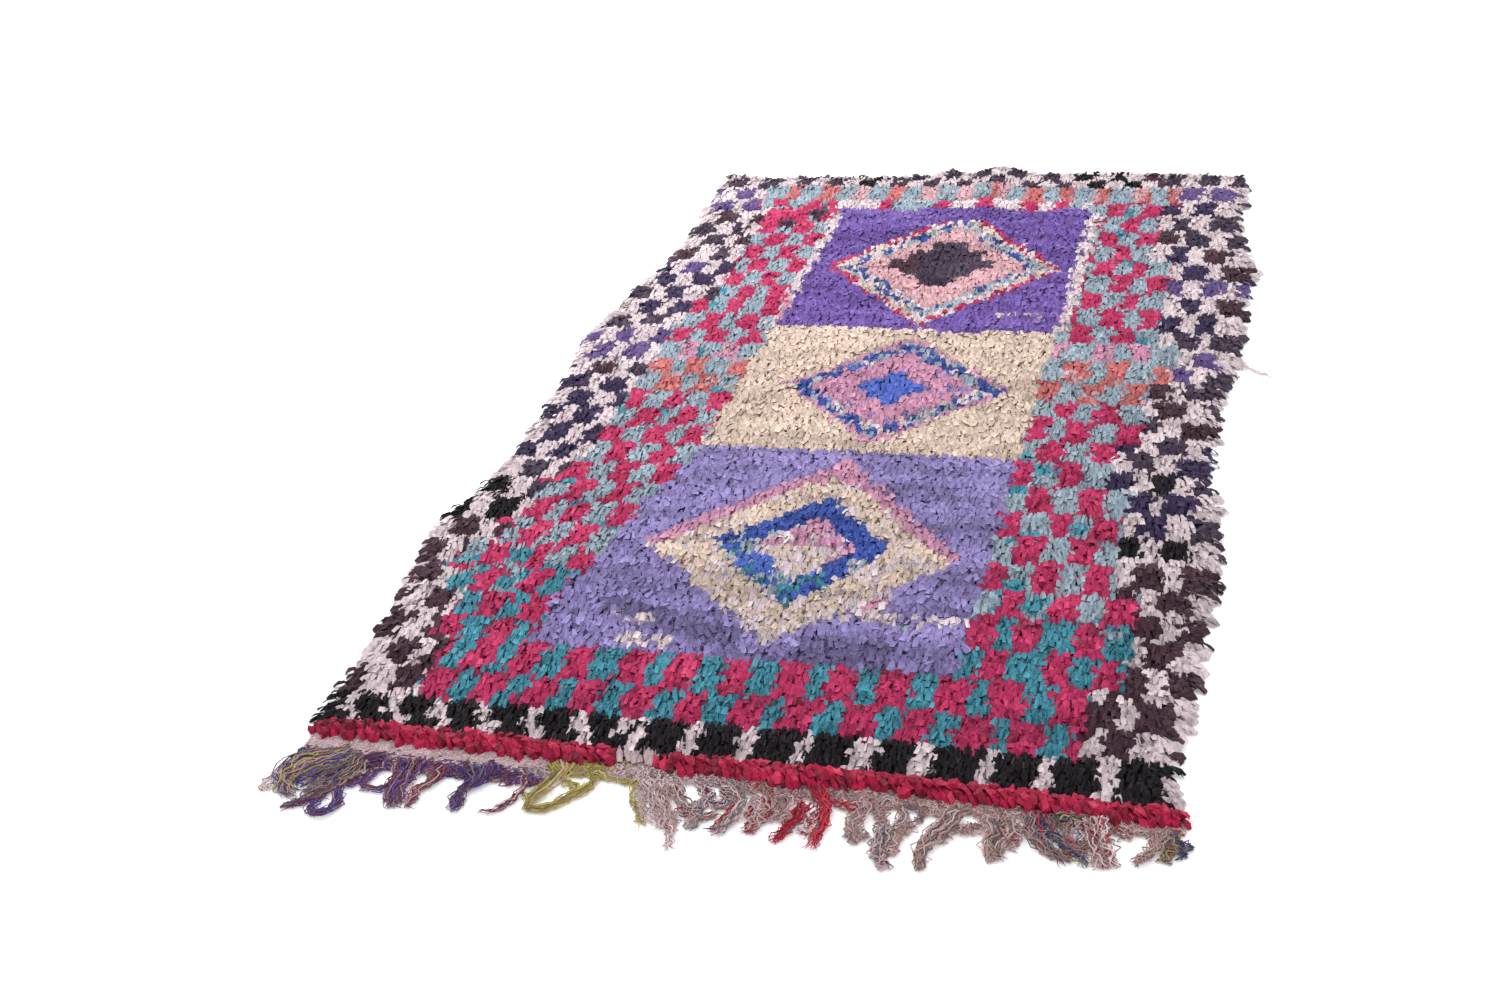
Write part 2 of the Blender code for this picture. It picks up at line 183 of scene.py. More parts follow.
# Rows of blocks across the ends: the row's number, the first middle, the spacing and the half-width
NEAR_BLACKS = (6, -0.105, 0.0884, 0.0300)
LEFT_BLACKS = ((10, -0.642, 0.0775, 0.0260), (12, -0.666, 0.0767, 0.0260))
NEAR_REDS = ((2, -0.500, 0.0848, 0.0235), (4, -0.550, 0.0858, 0.0240))
FAR_REDS = (8, -0.440, 0.0850, 0.0190)
# Stray yarns in the first field: from and to across, from and to along, and the yarn
LILAC_SPOTS = (
    (0.05, 0.30, 0.402, 0.436, CREAM), (-0.285, -0.205, 0.362, 0.392, CREAM),
    (-0.250, -0.155, 0.300, 0.334, CREAM), (0.165, 0.205, 0.384, 0.402, MIST),
)


def in_block(u, row, first, spacing, half):
    """Whether each place is in one of its row's blocks, and that block's number. Blocks shift by half a
    spacing in every second row, and each is a little uneven."""
    place = (u - first) / spacing + 0.5 * (row % 2)
    k = np.round(place)
    off = place - k + 0.16 * (pick(k, row, 17) - 0.5)
    return np.abs(off) * spacing < half * (0.88 + 0.24 * pick(k, row, 18)), k


def in_row(u, row):
    return in_block(u, *row)[0]


def shared(chance, *parts):
    """A yarn at each place by a random number from 0 to 1: yarns, with the bound between each two of them."""
    return np.array(parts[::2])[np.searchsorted(parts[1::2], chance, side="right")]


def diamond(u, v, middle, left, right, down, up):
    """0 at the middle of a diamond and 1 on its edge."""
    du, dv = u - middle[0], v - middle[1]
    return np.abs(du) / np.where(du < 0, left, right) + np.abs(dv) / np.where(dv < 0, down, up)


def outer_blocks(u, v):
    """Dark and cream blocks of the outer borders."""
    found = np.full(np.shape(u), CREAM)
    for side, (rows, *spacing) in BLOCKS.items():
        marks, numbers = zip(*rows)
        at = np.interp(v, marks, numbers) + 0.24 * (smooth_noise(u, v, 0.09, 19) - 0.5)
        row = np.floor(at)
        dark, k = in_block(u * side, row, *spacing)
        dark &= (np.abs(at - row - 0.5) < 0.44) & (u * side > 0)
        middle = np.interp(row + 0.5, numbers, marks)
        start = 0
        for end, *yarns in DARKS[side]:
            chosen = np.array(yarns)[(pick(k, row, 21) * len(yarns)).astype(int)]
            here = dark & (middle >= start) & (middle < end)
            found[here] = chosen[here]
            start = end
    return found


def chequer(u, v, side, inner):
    """Warm checks between blue-green ones, which turn pale away from the near end. side is -1 or 1. Also
    returns which places belong to it: whole checks only."""
    rows, first, spacing, half = CHECKS[side]
    marks, numbers = zip(*rows)
    at = np.interp(v, marks, numbers) + 0.20 * (smooth_noise(u, v, 0.09, 20) - 0.5)
    row = np.floor(at)
    out = u * side - inner
    check, _ = in_block(out, row, first, spacing, half)
    faded = pick(np.floor(u / 0.041), np.floor(v / 0.039), 41) < np.clip((v - 0.40) / 0.16, 0, 0.96)
    bits = pick(np.floor(u / 0.020), np.floor(v / 0.030), 23)
    middle = np.interp(row + 0.5, numbers, marks)
    warm = np.where(within(middle, 1.18, 1.35), shared(bits, CORAL, 0.80, PEACH), CRIMSON)
    warm = np.where(within(middle, 1.35, 1.43), shared(bits, PINK, 0.70, PEACH, 0.85, CRIMSON), warm)
    found = np.where(check, warm, np.where(faded, MIST, TEAL))
    reach = eased(OUTER, middle, 1 if side < 0 else 2) - inner - first
    steps = np.round(reach / (spacing / 2) - 0.5 + 0.7 * (pick(row, 5, 22) - 0.5)) + 0.5
    return found, out < first + steps * spacing / 2


def chart(u, v):
    """The yarn at each place of the pile."""
    mixed = pick(np.floor(u / 0.013), np.floor(v / 0.016), 5)

    # Borders at the sides
    base = np.where(np.abs(u) > 0.30, outer_blocks(u, v), CREAM)
    inner_left = eased(INNER_LEFT, v)
    for side, inner in ((-1, -inner_left), (1, INNER_RIGHT)):
        checks, inside = chequer(u, v, side, inner)
        base = np.where(inside & (u * side > inner) & within(v, FIELDS_FROM, CHEQUER_TO), checks, base)
    for x, along, half, high in ((-0.41, 2.05, 0.028, 0.036), (-0.345, 2.11, 0.03, 0.04)):
        base[diamond(u, v, (x, along), half, half, high, high) < 1] = CHARCOAL
    for x, along in ((-0.46, 2.08), (-0.385, 2.12)):
        base[(np.abs(u - x) < 0.018) & (np.abs(v - along) < 0.05)] = CRIMSON

    # Three fields, and the pale lines at the sides of the third
    field = (u >= inner_left) & (u <= INNER_RIGHT) & (v > FIELDS_FROM)
    for end, yarns in ((math.inf, violet_field), (SECOND_TO, straw_field), (FIRST_TO, lilac_field)):
        base = np.where(field & (v < end), yarns(u, v, mixed), base)
    line = within(v, SECOND_TO, 2.12) & (np.abs(np.abs(u - 0.008) - 0.306) < 0.0125)
    base = np.where(line, np.where((mixed < 0.4) & (v < 1.62), PINK, CREAM), base)

    # Rows across the far end
    bits = pick(np.floor(u / 0.035), 7, 29)
    thin = within(u, -0.34, 0.30) & within(v, 2.145, CHEQUER_TO)
    base = np.where(thin, shared(bits, CREAM, 0.45, MIST, 0.75, CRIMSON), base)
    misty = within(u, -0.52, 0.50) & within(v, CHEQUER_TO, MISTS_TO)
    base = np.where(misty, np.where(in_row(u, FAR_REDS), shared(bits, PEACH, 0.5, CORAL), MIST), base)
    place = u + np.where(v > EDGE_ROW_TO, 0.04, 0.0) + 0.7
    dark = shared(pick(np.floor(place / 0.082), 2, 31), BLACK, 0.25, BROWN, 0.45, CHARCOAL)
    edge = np.where(place % 0.082 < 0.040, dark, CREAM)
    base = np.where((v > MISTS_TO) & (np.abs(u) < 0.46), edge, base)

    # Rows across the near end
    reds = (v < REDS_TO) & within(u, np.where(v < LOW_REDS_TO, -0.530, -0.535), 0.508)
    red = np.where(v < LOW_REDS_TO, in_row(u, NEAR_REDS[0]), in_row(u, NEAR_REDS[1]))
    base = np.where(reds, np.where(red, CRIMSON, TEAL), base)
    left = np.where(v < LOW_BLACKS_TO, in_row(u, LEFT_BLACKS[0]), in_row(u, LEFT_BLACKS[1]))
    black = np.where(u > -0.15, in_row(u, NEAR_BLACKS), left)
    return np.where(v < BLACKS_TO, np.where(black, BLACK, CREAM), base)


def lilac_field(u, v, mixed):
    d = diamond(u, v, (-0.010, 0.605), 0.300, 0.270, 0.280, 0.315)
    inner = diamond(u, v, (-0.008, 0.616), 0.176, 0.142, 0.186, 0.170)
    upper = v > 0.60
    field = np.full(np.shape(u), LILAC)
    for x0, x1, v0, v1, yarn in LILAC_SPOTS:
        field[within(u, x0, x1) & within(v, v0, v1) & (mixed < 0.85)] = yarn
    ring = np.where(mixed < np.where(upper, 0.75, 0.50), STRAW, CREAM)
    ring[(d > 0.865) & upper | (d > 0.78) & (v > 0.82)] = PINK
    blue = np.where((u > 0.070) & within(v, 0.48, 0.590), shared(mixed, MIST, 0.5, CREAM), BLUE)
    blue[(v < 0.530) & (mixed < 0.35)] = TEAL
    blue[(u < -0.01) & (v < 0.66) & (mixed > 0.72)] = MIST
    blue[(u < 0.03) & (v < 0.60) & (mixed < 0.22)] = TEAL
    centre = np.where((v > 0.615) & (mixed < 0.9) | (u > 0.03) & (mixed < 0.5), PINK, CREAM)
    centre[(v < 0.615) & (mixed > 0.8)] = STRAW
    spill = within(u, 0.03, 0.16) & within(v, 0.43, 0.54) & (u * 0.9 + v < 0.66)
    field = np.where(spill, shared(mixed, PINK, 0.35, CREAM), field)
    return np.where(d < 1, np.where(inner < 0.58, centre, np.where(inner < 1.0, blue, ring)), field)


def straw_field(u, v, mixed):
    d = diamond(u, v, (0.018, 1.222), 0.228, 0.236, 0.236, 0.230)
    cross = diamond(u, v, (0.015, 1.218), 0.072, 0.072, 0.078, 0.078)
    inside = np.where(cross < 1, BLUE, shared(mixed, PINK, 0.86, LILAC))
    inside = np.where(d > 0.73, shared(mixed, BLUE, 0.52, MIST, 0.78, CREAM), inside)
    inside[d > 0.925] = PINK
    return np.where(d < 1, inside, STRAW)


def violet_field(u, v, mixed):
    d = diamond(u, v, (0.012, 1.812), 0.270, 0.270, 0.315, 0.316)
    d = np.where(v > 2.06, np.maximum(d, 1.0), d)
    across, along = np.abs(u - 0.005), np.abs(v - 1.830)
    steps = ((0.042, 0.118), (0.080, 0.072), (0.118, 0.028))
    cross = np.any([(across < wide) & (along < long) for wide, long in steps], 0)
    inside = np.where(cross, np.where((u < -0.045) & (mixed < 0.7), BROWN, CHARCOAL), PEACH)
    inside = np.where(d > 0.70, shared(mixed, BLUE, 0.34, MIST, 0.62, CREAM), inside)
    inside = np.where(d > 0.86, shared(mixed, STRAW, 0.6, CREAM), inside)
    inside[(d > 0.92) & (mixed < 0.80)] = CRIMSON
    squiggle = within(u, 0.18, 0.27) & (np.abs(v - 1.575 - 0.010 * np.sin(u * 140)) < 0.007)
    return np.where(d < 1, inside, np.where(squiggle, STRAW, VIOLET))


# Building many small closed shapes that share one layout of faces
def placed(name, mesh, material):
    """A mesh put in the scene, on the rug's one body."""
    mesh.materials.append(material)
    obj = bpy.data.objects.new(name, mesh)
    bpy.context.scene.collection.objects.link(obj)
    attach(obj, "root")
    return obj


def unroll(mesh, uv):
    mesh.uv_layers.new(name="OFBake").data.foreach_set("uv", uv.reshape(-1).astype(np.float32))


def piece(name, points, layout, tone, depth, material, slot, smooth_shaded=False):
    """One mesh of closed shapes. points is (shapes, corners, 3), tone one number for each shape, and depth
    one for each shape's corner."""
    faces, corner_uv = layout
    count, corners = points.shape[:2]
    points = points + np.array((0, -MIDDLE, 0))
    a, b, c = points[0][faces[:, 0]], points[0][faces[:, 1]], points[0][faces[:, 2]]
    if (a * np.cross(b, c)).sum() < 0:
        faces, corner_uv = faces[:, ::-1], corner_uv[:, ::-1]
    every = (faces[None] + np.arange(count)[:, None, None] * corners).reshape(-1, 3)
    mesh = bpy.data.meshes.new(name)
    mesh.vertices.add(count * corners)
    mesh.vertices.foreach_set("co", points.reshape(-1).astype(np.float32))
    mesh.loops.add(every.size)
    mesh.loops.foreach_set("vertex_index", every.reshape(-1).astype(np.int32))
    mesh.polygons.add(len(every))
    mesh.polygons.foreach_set("loop_start", np.arange(0, every.size, 3, dtype=np.int32))
    mesh.polygons.foreach_set("use_smooth", np.full(len(every), smooth_shaded))
    across = math.ceil(math.sqrt(count))
    cell = np.stack((np.arange(count) % across, np.arange(count) // across), -1)
    uv = (cell[:, None, None] + 0.06 + 0.88 * corner_uv[None]) / across
    unroll(mesh, uv)
    for label, values in (("tone", np.repeat(tone, corners)), ("depth", depth.reshape(-1))):
        made = mesh.attributes.new(label, "FLOAT", "POINT")
        made.data.foreach_set("value", values.astype(np.float32))
    mesh.update()
    mesh.validate()
    return placed(name, mesh, material)


def bands(rings, sides, corner=0, row=0):
    """Faces between the rings of a tube, from a corner's number on, and their places on an unrolled sheet."""
    faces, uv = [], []
    for r in range(rings - 1):
        for s in range(sides):
            a, b = corner + r * sides + s, corner + r * sides + (s + 1) % sides
            near, far = row + r, row + r + 1
            faces += [[a, b, b + sides], [a, b + sides, a + sides]]
            uv += [[(s, near), (s + 1, near), (s + 1, far)], [(s, near), (s + 1, far), (s, far)]]
    return faces, uv


def tube_layout(rings, sides):
    """Faces and their corners' places on an unrolled sheet, for a closed tube."""
    faces, uv = bands(rings, sides)
    for ring, order in ((0, -1), (rings - 1, 1)):
        for s in range(1, sides - 1):
            faces.append([ring * sides, ring * sides + s, ring * sides + s + 1][::order])
            uv.append([(0, ring), (s, ring), (s + 1, ring)][::order])
    return np.array(faces), np.array(uv, float) / (sides, rings - 1)


def unit(v):
    return v / np.maximum(np.linalg.norm(v, axis=-1, keepdims=True), 1e-9)


def strips(root, azimuth, length, width, slopes, shape, thick, crumple, lean):
    """Bent strips of rag with a low ridge along them. slopes holds each segment's slope, one for each
    strip, and shape its share of the length and how wide it ends. lean is how much they roll about their
    length, in radians. Returns the points as (strips, corners, 3) and the depth of each."""
    n = len(root)
    heading = np.stack((np.cos(azimuth), np.sin(azimuth), np.zeros(n)), -1)
    side = np.stack((-heading[:, 1], heading[:, 0], np.zeros(n)), -1)
    up = np.array((0.0, 0.0, 1.0))
    roll = rng.normal(0, lean, n)[:, None]
    spot = root.copy()
    rings = [root[:, None]]
    # 0 at the root. Painted shade: the ridge is paler than the edges, and both get paler towards the tip,
    #                               standing in for the shade between strips and at their roots.
    depth = [0.0]
    for k, (slope, (share, wide)) in enumerate(zip(slopes, shape)):
        slope = slope[:, None]
        step = np.cos(slope) * heading + np.sin(slope) * up
        spot = spot + step * (length * share)[:, None]
        top = -np.sin(slope) * heading + np.cos(slope) * up
        across = np.cos(roll) * side + np.sin(roll) * top
        ridge = unit(np.cross(step, across))
        ridge = ridge * np.sign((ridge * top).sum(-1, keepdims=True))
        w = (width * wide / 2)[:, None] * rng.uniform(0.8, 1.2, (n, 1))
        h = (thick * (1.0 - 0.2 * k))[:, None]
        off = rng.uniform(-0.55, 0.55, (n, 1))
        ring = np.stack((spot - across * w, spot + across * w, spot + across * w * off + ridge * h), 1)
        rings.append(ring + rng.normal(0, crumple, ring.shape))
        along = (k + 1) / len(shape)
        depth += [0.75 * along, 0.75 * along, 0.10 + 0.90 * along]
    return np.concatenate(rings, 1), np.tile(np.array(depth), (n, 1))


def pads(at):
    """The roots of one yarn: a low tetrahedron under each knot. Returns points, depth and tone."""
    n = len(at)
    x, y = at[:, 0], at[:, 1]
    turn = rng.uniform(0, 2 * math.pi, n)
    angle = turn[:, None] + np.array((0, 2, 4)) * math.pi / 3
    reach = PAD_REACH * rng.uniform(0.85, 1.1, (n, 1))
    base = np.stack((x[:, None] + reach * np.cos(angle), y[:, None] + reach * np.sin(angle)), -1)
    floor_at = lift(base[..., 0], base[..., 1])[..., None] + GROUND_TOP - 0.001
    top = np.stack((x, y, lift(x, y) + GROUND_TOP + PAD_HIGH * rng.uniform(0.8, 1.15, n)), -1)
    points = np.concatenate((np.concatenate((base, floor_at), -1), top[:, None]), 1)
    # Painted shade: the pads darken towards the floor, and their tones lean dark, as they lie in the pile's
    # shade.
    depth = np.tile(np.array((0.0, 0.0, 0.0, 0.80)), (n, 1))
    return points, depth, tones(0.35, 0.12, n)


# A pad's faces and their corners' places on an unrolled sheet
PAD_LAYOUT = (
    np.array(((0, 2, 1), (0, 1, 3), (1, 2, 3), (2, 0, 3))),
    np.array((
        ((0.1, 0.0), (0.5, 0.3), (0.9, 0.0)), ((0, 0.4), (0.3, 0.4), (0.15, 1)),
        ((0.35, 0.4), (0.65, 0.4), (0.5, 1)), ((0.7, 0.4), (1, 0.4), (0.85, 1)),
    )),
)


def strip_layout(segments):
    """The same as a tube's layout, for a strip: one corner at its root, then a ring of three a segment."""
    faces, uv = bands(segments, 3, corner=1, row=1)
    root = [[0, 1 + (k + 1) % 3, 1 + k] for k in range(3)]
    root_uv = [[(k + 0.5, 0), (k + 1, 1), (k, 1)] for k in range(3)]
    last = 3 * segments - 2
    faces = root + faces + [[last, last + 1, last + 2]]
    uv = root_uv + uv + [[(0, segments), (1, segments), (2, segments)]]
    return np.array(faces), np.array(uv, float) / (3, segments)


# Materials
def fill(tree, node, inputs):
    """Give a node's inputs their values, or the outputs that feed them."""
    for socket, value in inputs.items():
        if isinstance(value, bpy.types.NodeSocket):
            tree.links.new(value, node.inputs[socket])
        else:
            node.inputs[socket].default_value = value


def add(tree, kind, inputs, output=0, **settings):
    """Add a node and return one of its outputs."""
    node = tree.nodes.new("ShaderNode" + kind)
    for setting, value in settings.items():
        setattr(node, setting, value)
    fill(tree, node, inputs)
    return node.outputs[output]


def plain_material(name, **inputs):
    """A new material with its node tree and its shader."""
    material = bpy.data.materials.new(name)
    material.use_nodes = True
    tree = material.node_tree
    body = tree.nodes["Principled BSDF"]
    fill(tree, body, {label.replace("_", " "): value for label, value in inputs.items()})
    return material, tree, body


def coloured(tree, value, stops):
    """A colour ramp over a value."""
    colour = add(tree, "ValToRGB", {"Fac": value})
    elements = colour.node.color_ramp.elements
    while len(elements) < len(stops):
        elements.new(0.5)
    for element, (at, rgba) in zip(elements, stops):
        element.position = at
        element.color = rgba
    return colour


def dented(tree, height, strength, distance):
    return add(tree, "Bump", {"Strength": strength, "Distance": distance, "Height": height})


def shader(name, stops, roughness, sheen, crinkle, bump):
    """A rag or yarn material: coloured by the strip's tone, with painted shade darker towards the root, and
    fine crinkles.
    """
    material, tree, body = plain_material(
        name, Roughness=roughness, Specular_IOR_Level=0.22, Sheen_Weight=sheen, Sheen_Roughness=0.5,
    )
    tone = add(tree, "Attribute", {}, "Fac", attribute_name="tone")
    depth = add(tree, "Attribute", {}, "Fac", attribute_name="depth")
    place = add(tree, "TexCoord", {}, "Object")
    along_rows = add(tree, "Mapping", {"Vector": place, "Scale": (1.0, 0.24, 0.5)})
    fine = add(tree, "TexNoise", {"Vector": along_rows, "Scale": 300.0, "Detail": 3.0})
    mottled = add(tree, "Math", {0: fine, 1: 0.90, 2: tone}, operation="MULTIPLY_ADD")
    centred = add(tree, "Math", {0: mottled, 1: 0.45}, operation="SUBTRACT")
    # Painted shade: the colour is multiplied down where depth is low, towards roots, edges and hidden parts.
    shade = add(tree, "MapRange", {"Value": depth, "To Min": 0.46, "To Max": 1.04})
    parts = {0: 1.0, 6: coloured(tree, centred, stops), 7: shade}
    colour = add(tree, "Mix", parts, 2, data_type="RGBA", blend_type="MULTIPLY")
    folds = {"Vector": place, "Scale": crinkle, "Detail": 4.0, "Roughness": 0.62, "Distortion": 0.8}
    normal = dented(tree, add(tree, "TexNoise", folds), bump, 0.0016)
    fill(tree, body, {"Base Color": colour, "Normal": normal})
    return material


def weave_material():
    """Flat weave: wefts over warps, creamy, with grey patches."""
    material, tree, body = plain_material("flat_weave", Roughness=0.9, Sheen_Weight=0.2)
    place = add(tree, "TexCoord", {}, "Object")
    warps = {"Vector": place, "Scale": 36.0, "Distortion": 1.6, "Detail": 2.0}
    wefts = {"Vector": place, "Scale": 56.0, "Distortion": 1.2}
    warps, wefts = (add(tree, "TexWave", warps, "Fac", bands_direction="X"),
                    add(tree, "TexWave", wefts, "Fac", bands_direction="Y"))
    height = add(tree, "Math", {0: warps, 1: wefts}, operation="MULTIPLY")
    patches = add(tree, "TexNoise", {"Vector": place, "Scale": 26.0, "Detail": 4.0})
    stops = ((0.30, linear((150, 132, 128))), (0.62, linear((216, 200, 190))))
    gap = add(tree, "MapRange", {"Value": height, "From Min": 0.30, "From Max": 0.02, "To Max": 0.75})
    parts = {0: gap, 6: coloured(tree, patches, stops), 7: linear((120, 96, 100))}
    colour = add(tree, "Mix", parts, 2, data_type="RGBA", blend_type="MIX")
    fill(tree, body, {"Base Color": colour, "Normal": dented(tree, height, 0.8, 0.0012)})
    return material


def shades(rgb, spread=1.0):
    """From dark to pale around one colour, for the yarns' own tones and the painted light and shade in their
    tone.
    """
    middle = np.array(linear(rgb)[:3])
    steps = ((0.0, 0.48, 0.0), (0.33, 0.84, 0.0), (0.66, 1.10, 0.005), (1.0, 1.30, 0.055))
    return [(at, (*(middle * (1 + (scale - 1) * spread) + pale), 1.0)) for at, scale, pale in steps]


SPREADS = {"crimson": 1.45, "teal": 1.25, "blue": 1.5}
# Yarn: strip width and thickness in mm, strips a knot, sheen, crinkle scale, bump
CUTS = dict(
    crimson=(10.4, 1.4, 2.7, 0.06, 260, 0.9),
    black=(5.2, 1.6, 4.2, 0.03, 700, 0.9),
    teal=(7.2, 1.0, 3.5, 0.08, 480, 0.8),
    mist=(7.2, 1.0, 3.4, 0.08, 480, 0.8),
    lilac=(9.6, 0.9, 2.9, 0.08, 380, 0.9),
    violet=(9.6, 1.0, 2.9, 0.08, 380, 0.9),
    straw=(8.8, 0.7, 3.1, 0.08, 360, 0.8),
)
PLAIN_CUT = (8.6, 1.1, 3.1, 0.08, 360, 0.8)

# The pile
ROW = 0.0150
KNOT = 0.0100
PILE_FROM, PILE_TO = 0.041, 2.352
FAN = 0.030
FIELDS = ("lilac", "violet", "straw")
RUFFLE, FIELD_RUFFLE = 0.15, 0.36
LEAN, FIELD_LEAN = 0.32, 0.20
PAD_REACH, PAD_HIGH = 0.017, 0.0094
PILE_LENGTH = 0.0275
CRUMPLE = 0.00055
LEAST_HEIGHT = 0.0012
# Each segment of a strip: its share of the length and how wide it ends
INSIDE = ((0.54, 0.90), (0.46, 1.0))
RIM = ((0.36, 0.95), (0.34, 1.20), (0.30, 0.95))
# How far along, then how much further along in the pattern a knot's tip is
NUDGES = np.array((
    (0.05, 0.012), (0.20, 0.010), (0.32, -0.003), (0.90, -0.003), (1.25, 0.010), (1.80, 0.012), (2.10, 0.006),
))
# The grid on which the yarns around each knot are counted, and how far around
CELL, GRID_LEFT, GRID_NEAR = 0.006, -0.74, -0.04
BLUR = 0.013


def seen(x, along, jitter=0.0):
    """Where the tips of the knots at x and along are in the pattern."""
    return 1.0098 * x - 0.0074 + jitter, 1.0098 * along + 0.0080 + np.interp(along, *NUDGES.T)


def surroundings():
    """For each yarn, the share of it around each cell of a grid and how that share grows across and along."""
    x, along = np.meshgrid(np.arange(GRID_LEFT, 0.76, CELL), np.arange(GRID_NEAR, 2.44, CELL), indexing="ij")
    yarn = chart(*seen(x, along))
    reach = range(-6, 7)
    weights = [math.exp(-0.5 * (k * CELL / BLUR) ** 2) for k in reach]
    found = []
    for k in range(len(YARNS)):
        share = (yarn == k).astype(float)
        for axis in (0, 1):
            share = sum(w * np.roll(share, s, axis) for s, w in zip(reach, weights)) / sum(weights)
        found.append((share, *np.gradient(share, CELL)))
    return found


def knots():
    """The knots of the whole pile as x and along, row by row."""
    found = []
    for r in range(int((PILE_TO - PILE_FROM) / ROW)):
        along = PILE_FROM + r * ROW
        low, high = float(eased(SELVEDGES, along, 1)), float(eased(SELVEDGES, along, 2))
        x = np.arange(low + 0.004, high - 0.002, KNOT) + (r % 2) * KNOT / 2
        y = along + 0.006 * (smooth_noise(x, np.full(len(x), along), 0.16, 3) - 0.5) + skew(x, along)
        found.append(np.stack((x, y, np.full(len(x), r)), -1))
    found = np.concatenate(found)
    inside = found[:, 1] < eased(FAR_END, found[:, 0]) - 0.024
    return found[inside]


def strips_of(at, yarn):
    """The strips of one yarn, from its knots: those inside the pile, then those at its rim."""
    width, thick, share = CUTS.get(yarn, PLAIN_CUT)[:3]
    in_field = yarn in FIELDS
    at = np.repeat(at, np.floor(share + rng.random(len(at))).astype(int), 0)
    n = len(at)
    x = at[:, 0] + rng.uniform(-0.0050, 0.0050, n)
    y = at[:, 1] + rng.uniform(-0.0062, 0.0062, n)
    low, high = eased(SELVEDGES, y, 1), eased(SELVEDGES, y, 2)
    far = eased(FAR_END, x) - 0.030
    gaps = ((x - low, 0.030), (high - x, 0.030), (far - y, 0.022))
    edge_left, edge_right, edge_far = (np.clip(1 - gap / reach, 0, 1) for gap, reach in gaps)
    edge = np.maximum(np.maximum(edge_left, edge_right), edge_far)

    # Strips lie towards the near end, fan out over the edges of their block and at the rim
    cell = tuple(np.round((p - start) / CELL).astype(int) for p, start in ((x, GRID_LEFT), (y, GRID_NEAR)))
    share, grow_x, grow_y = [values[cell] for values in around[YARNS.index(yarn)]]
    out_x, out_y = np.clip(-grow_x * FAN, -1, 1), np.clip(-grow_y * FAN, -1, 1)
    tuft = smooth_noise(x, y, 0.019, 6) - 0.5
    broad = smooth_noise(x, y, 0.085, 7) - 0.5
    swing = rng.normal(0, FIELD_RUFFLE if in_field else RUFFLE, n)
    azimuth = -math.pi / 2 + 0.45 * tuft + 0.35 * broad + swing + 0.16 * out_x * (1 - edge)
    azimuth += 1.10 * edge_right ** 1.2 - 1.10 * edge_left ** 1.2
    fold = np.exp(-(((x - 0.002) / 0.016) ** 2)) * (0.35 + 0.65 * (smooth_noise(x * 0, y, 0.16, 9) > 0.5))
    azimuth += 0.20 * fold * np.sign(x - 0.002)
    turned = (rng.random(n) < 0.55) & (edge_far > 0)
    azimuth = np.where(turned, math.pi / 2 + rng.normal(0, 0.5, n), azimuth)

    length = PILE_LENGTH * rng.normal(1.0, 0.12, n) * (1 + 0.04 * edge) * (1 + 0.30 * tuft + 0.20 * broad)
    length = length * (1.06 if yarn == "black" else 1.0) * (0.90 + 0.12 * share - 0.10 * out_y)
    rise = rng.normal(0.98, 0.11, n) - 0.42 * edge + 0.16 * out_y
    fall = rng.normal(-0.34, 0.15, n) - 0.42 * edge + 0.20 * out_y
    root = np.stack((x, y, lift(x, y) + GROUND_TOP - 0.0012), -1)
    sizes = rng.normal(1.0, 0.20, (2, n)).clip(0.5)
    streak = smooth_noise(x, y * 5.0, 0.10, 12)
    # Painted light: tone grows paler towards the far end and the left, where the light falls brighter.
    # Painted shade: the share term makes strips paler in the middle of their block and darker at its edges.
    painted_light = 0.16 * np.clip(y / 1.4, 0, 1) + 0.08 * np.clip(-x / 0.6, -1, 1)
    rows = 0.50 if yarn == "straw" else 0.74 if in_field else 0.34
    tone = 0.23 - rows / 2 + painted_light + 0.12 * share + rows * streak
    tone = tone + 0.30 * smooth_noise(x, y, 0.04, 13) - 0.03 + rng.normal(0, 0.12, n)
    if yarn == "lilac":
        stripe = within(x, -0.30, -0.05) & (np.abs(y - 0.368 + 0.30 * (x + 0.2)) < 0.026)
        stripe |= within(x, 0.05, 0.20) & (y < 0.350)
        tone = np.where(stripe, tone - 0.60, tone)
    if yarn == "violet":
        stripe = (np.abs(y - 1.955) < 0.014) & (x > 0.03) | (np.abs(y - 1.86) < 0.012) & (x < -0.1)
        tone = np.where(stripe, tone - 0.30, tone)
    if yarn == "blue":
        pale = (y < 0.60) & (x < 0.03) | (np.abs(y - 1.20) < 0.1) & (np.abs(x) < 0.09)
        tone = np.where(pale, tone + 0.34, tone - 0.1)
    tone = np.clip(tone, 0.02, 0.98)

    found = []
    for mine, shape in ((edge <= 0, INSIDE), (edge > 0, RIM)):
        slopes = [(rise + (fall - rise) * k / (len(shape) - 1))[mine] for k in range(len(shape))]
        points, depth = strips(
            root[mine], azimuth[mine], length[mine], width * 1e-3 * sizes[0][mine], slopes, shape,
            thick * 1e-3 * sizes[1][mine], CRUMPLE, FIELD_LEAN if in_field else LEAN,
        )
        floor_at = lift(points[..., 0], points[..., 1]) * (1 - edge[mine])[:, None] + LEAST_HEIGHT
        points[..., 2] = np.maximum(points[..., 2], floor_at)
        # Painted shade: strips are darker near the edges of their block, where blocks shade each other.
        depth = depth * (0.80 + 0.24 * share[mine])[:, None]
        found.append((points, depth, tone[mine]))
    return found


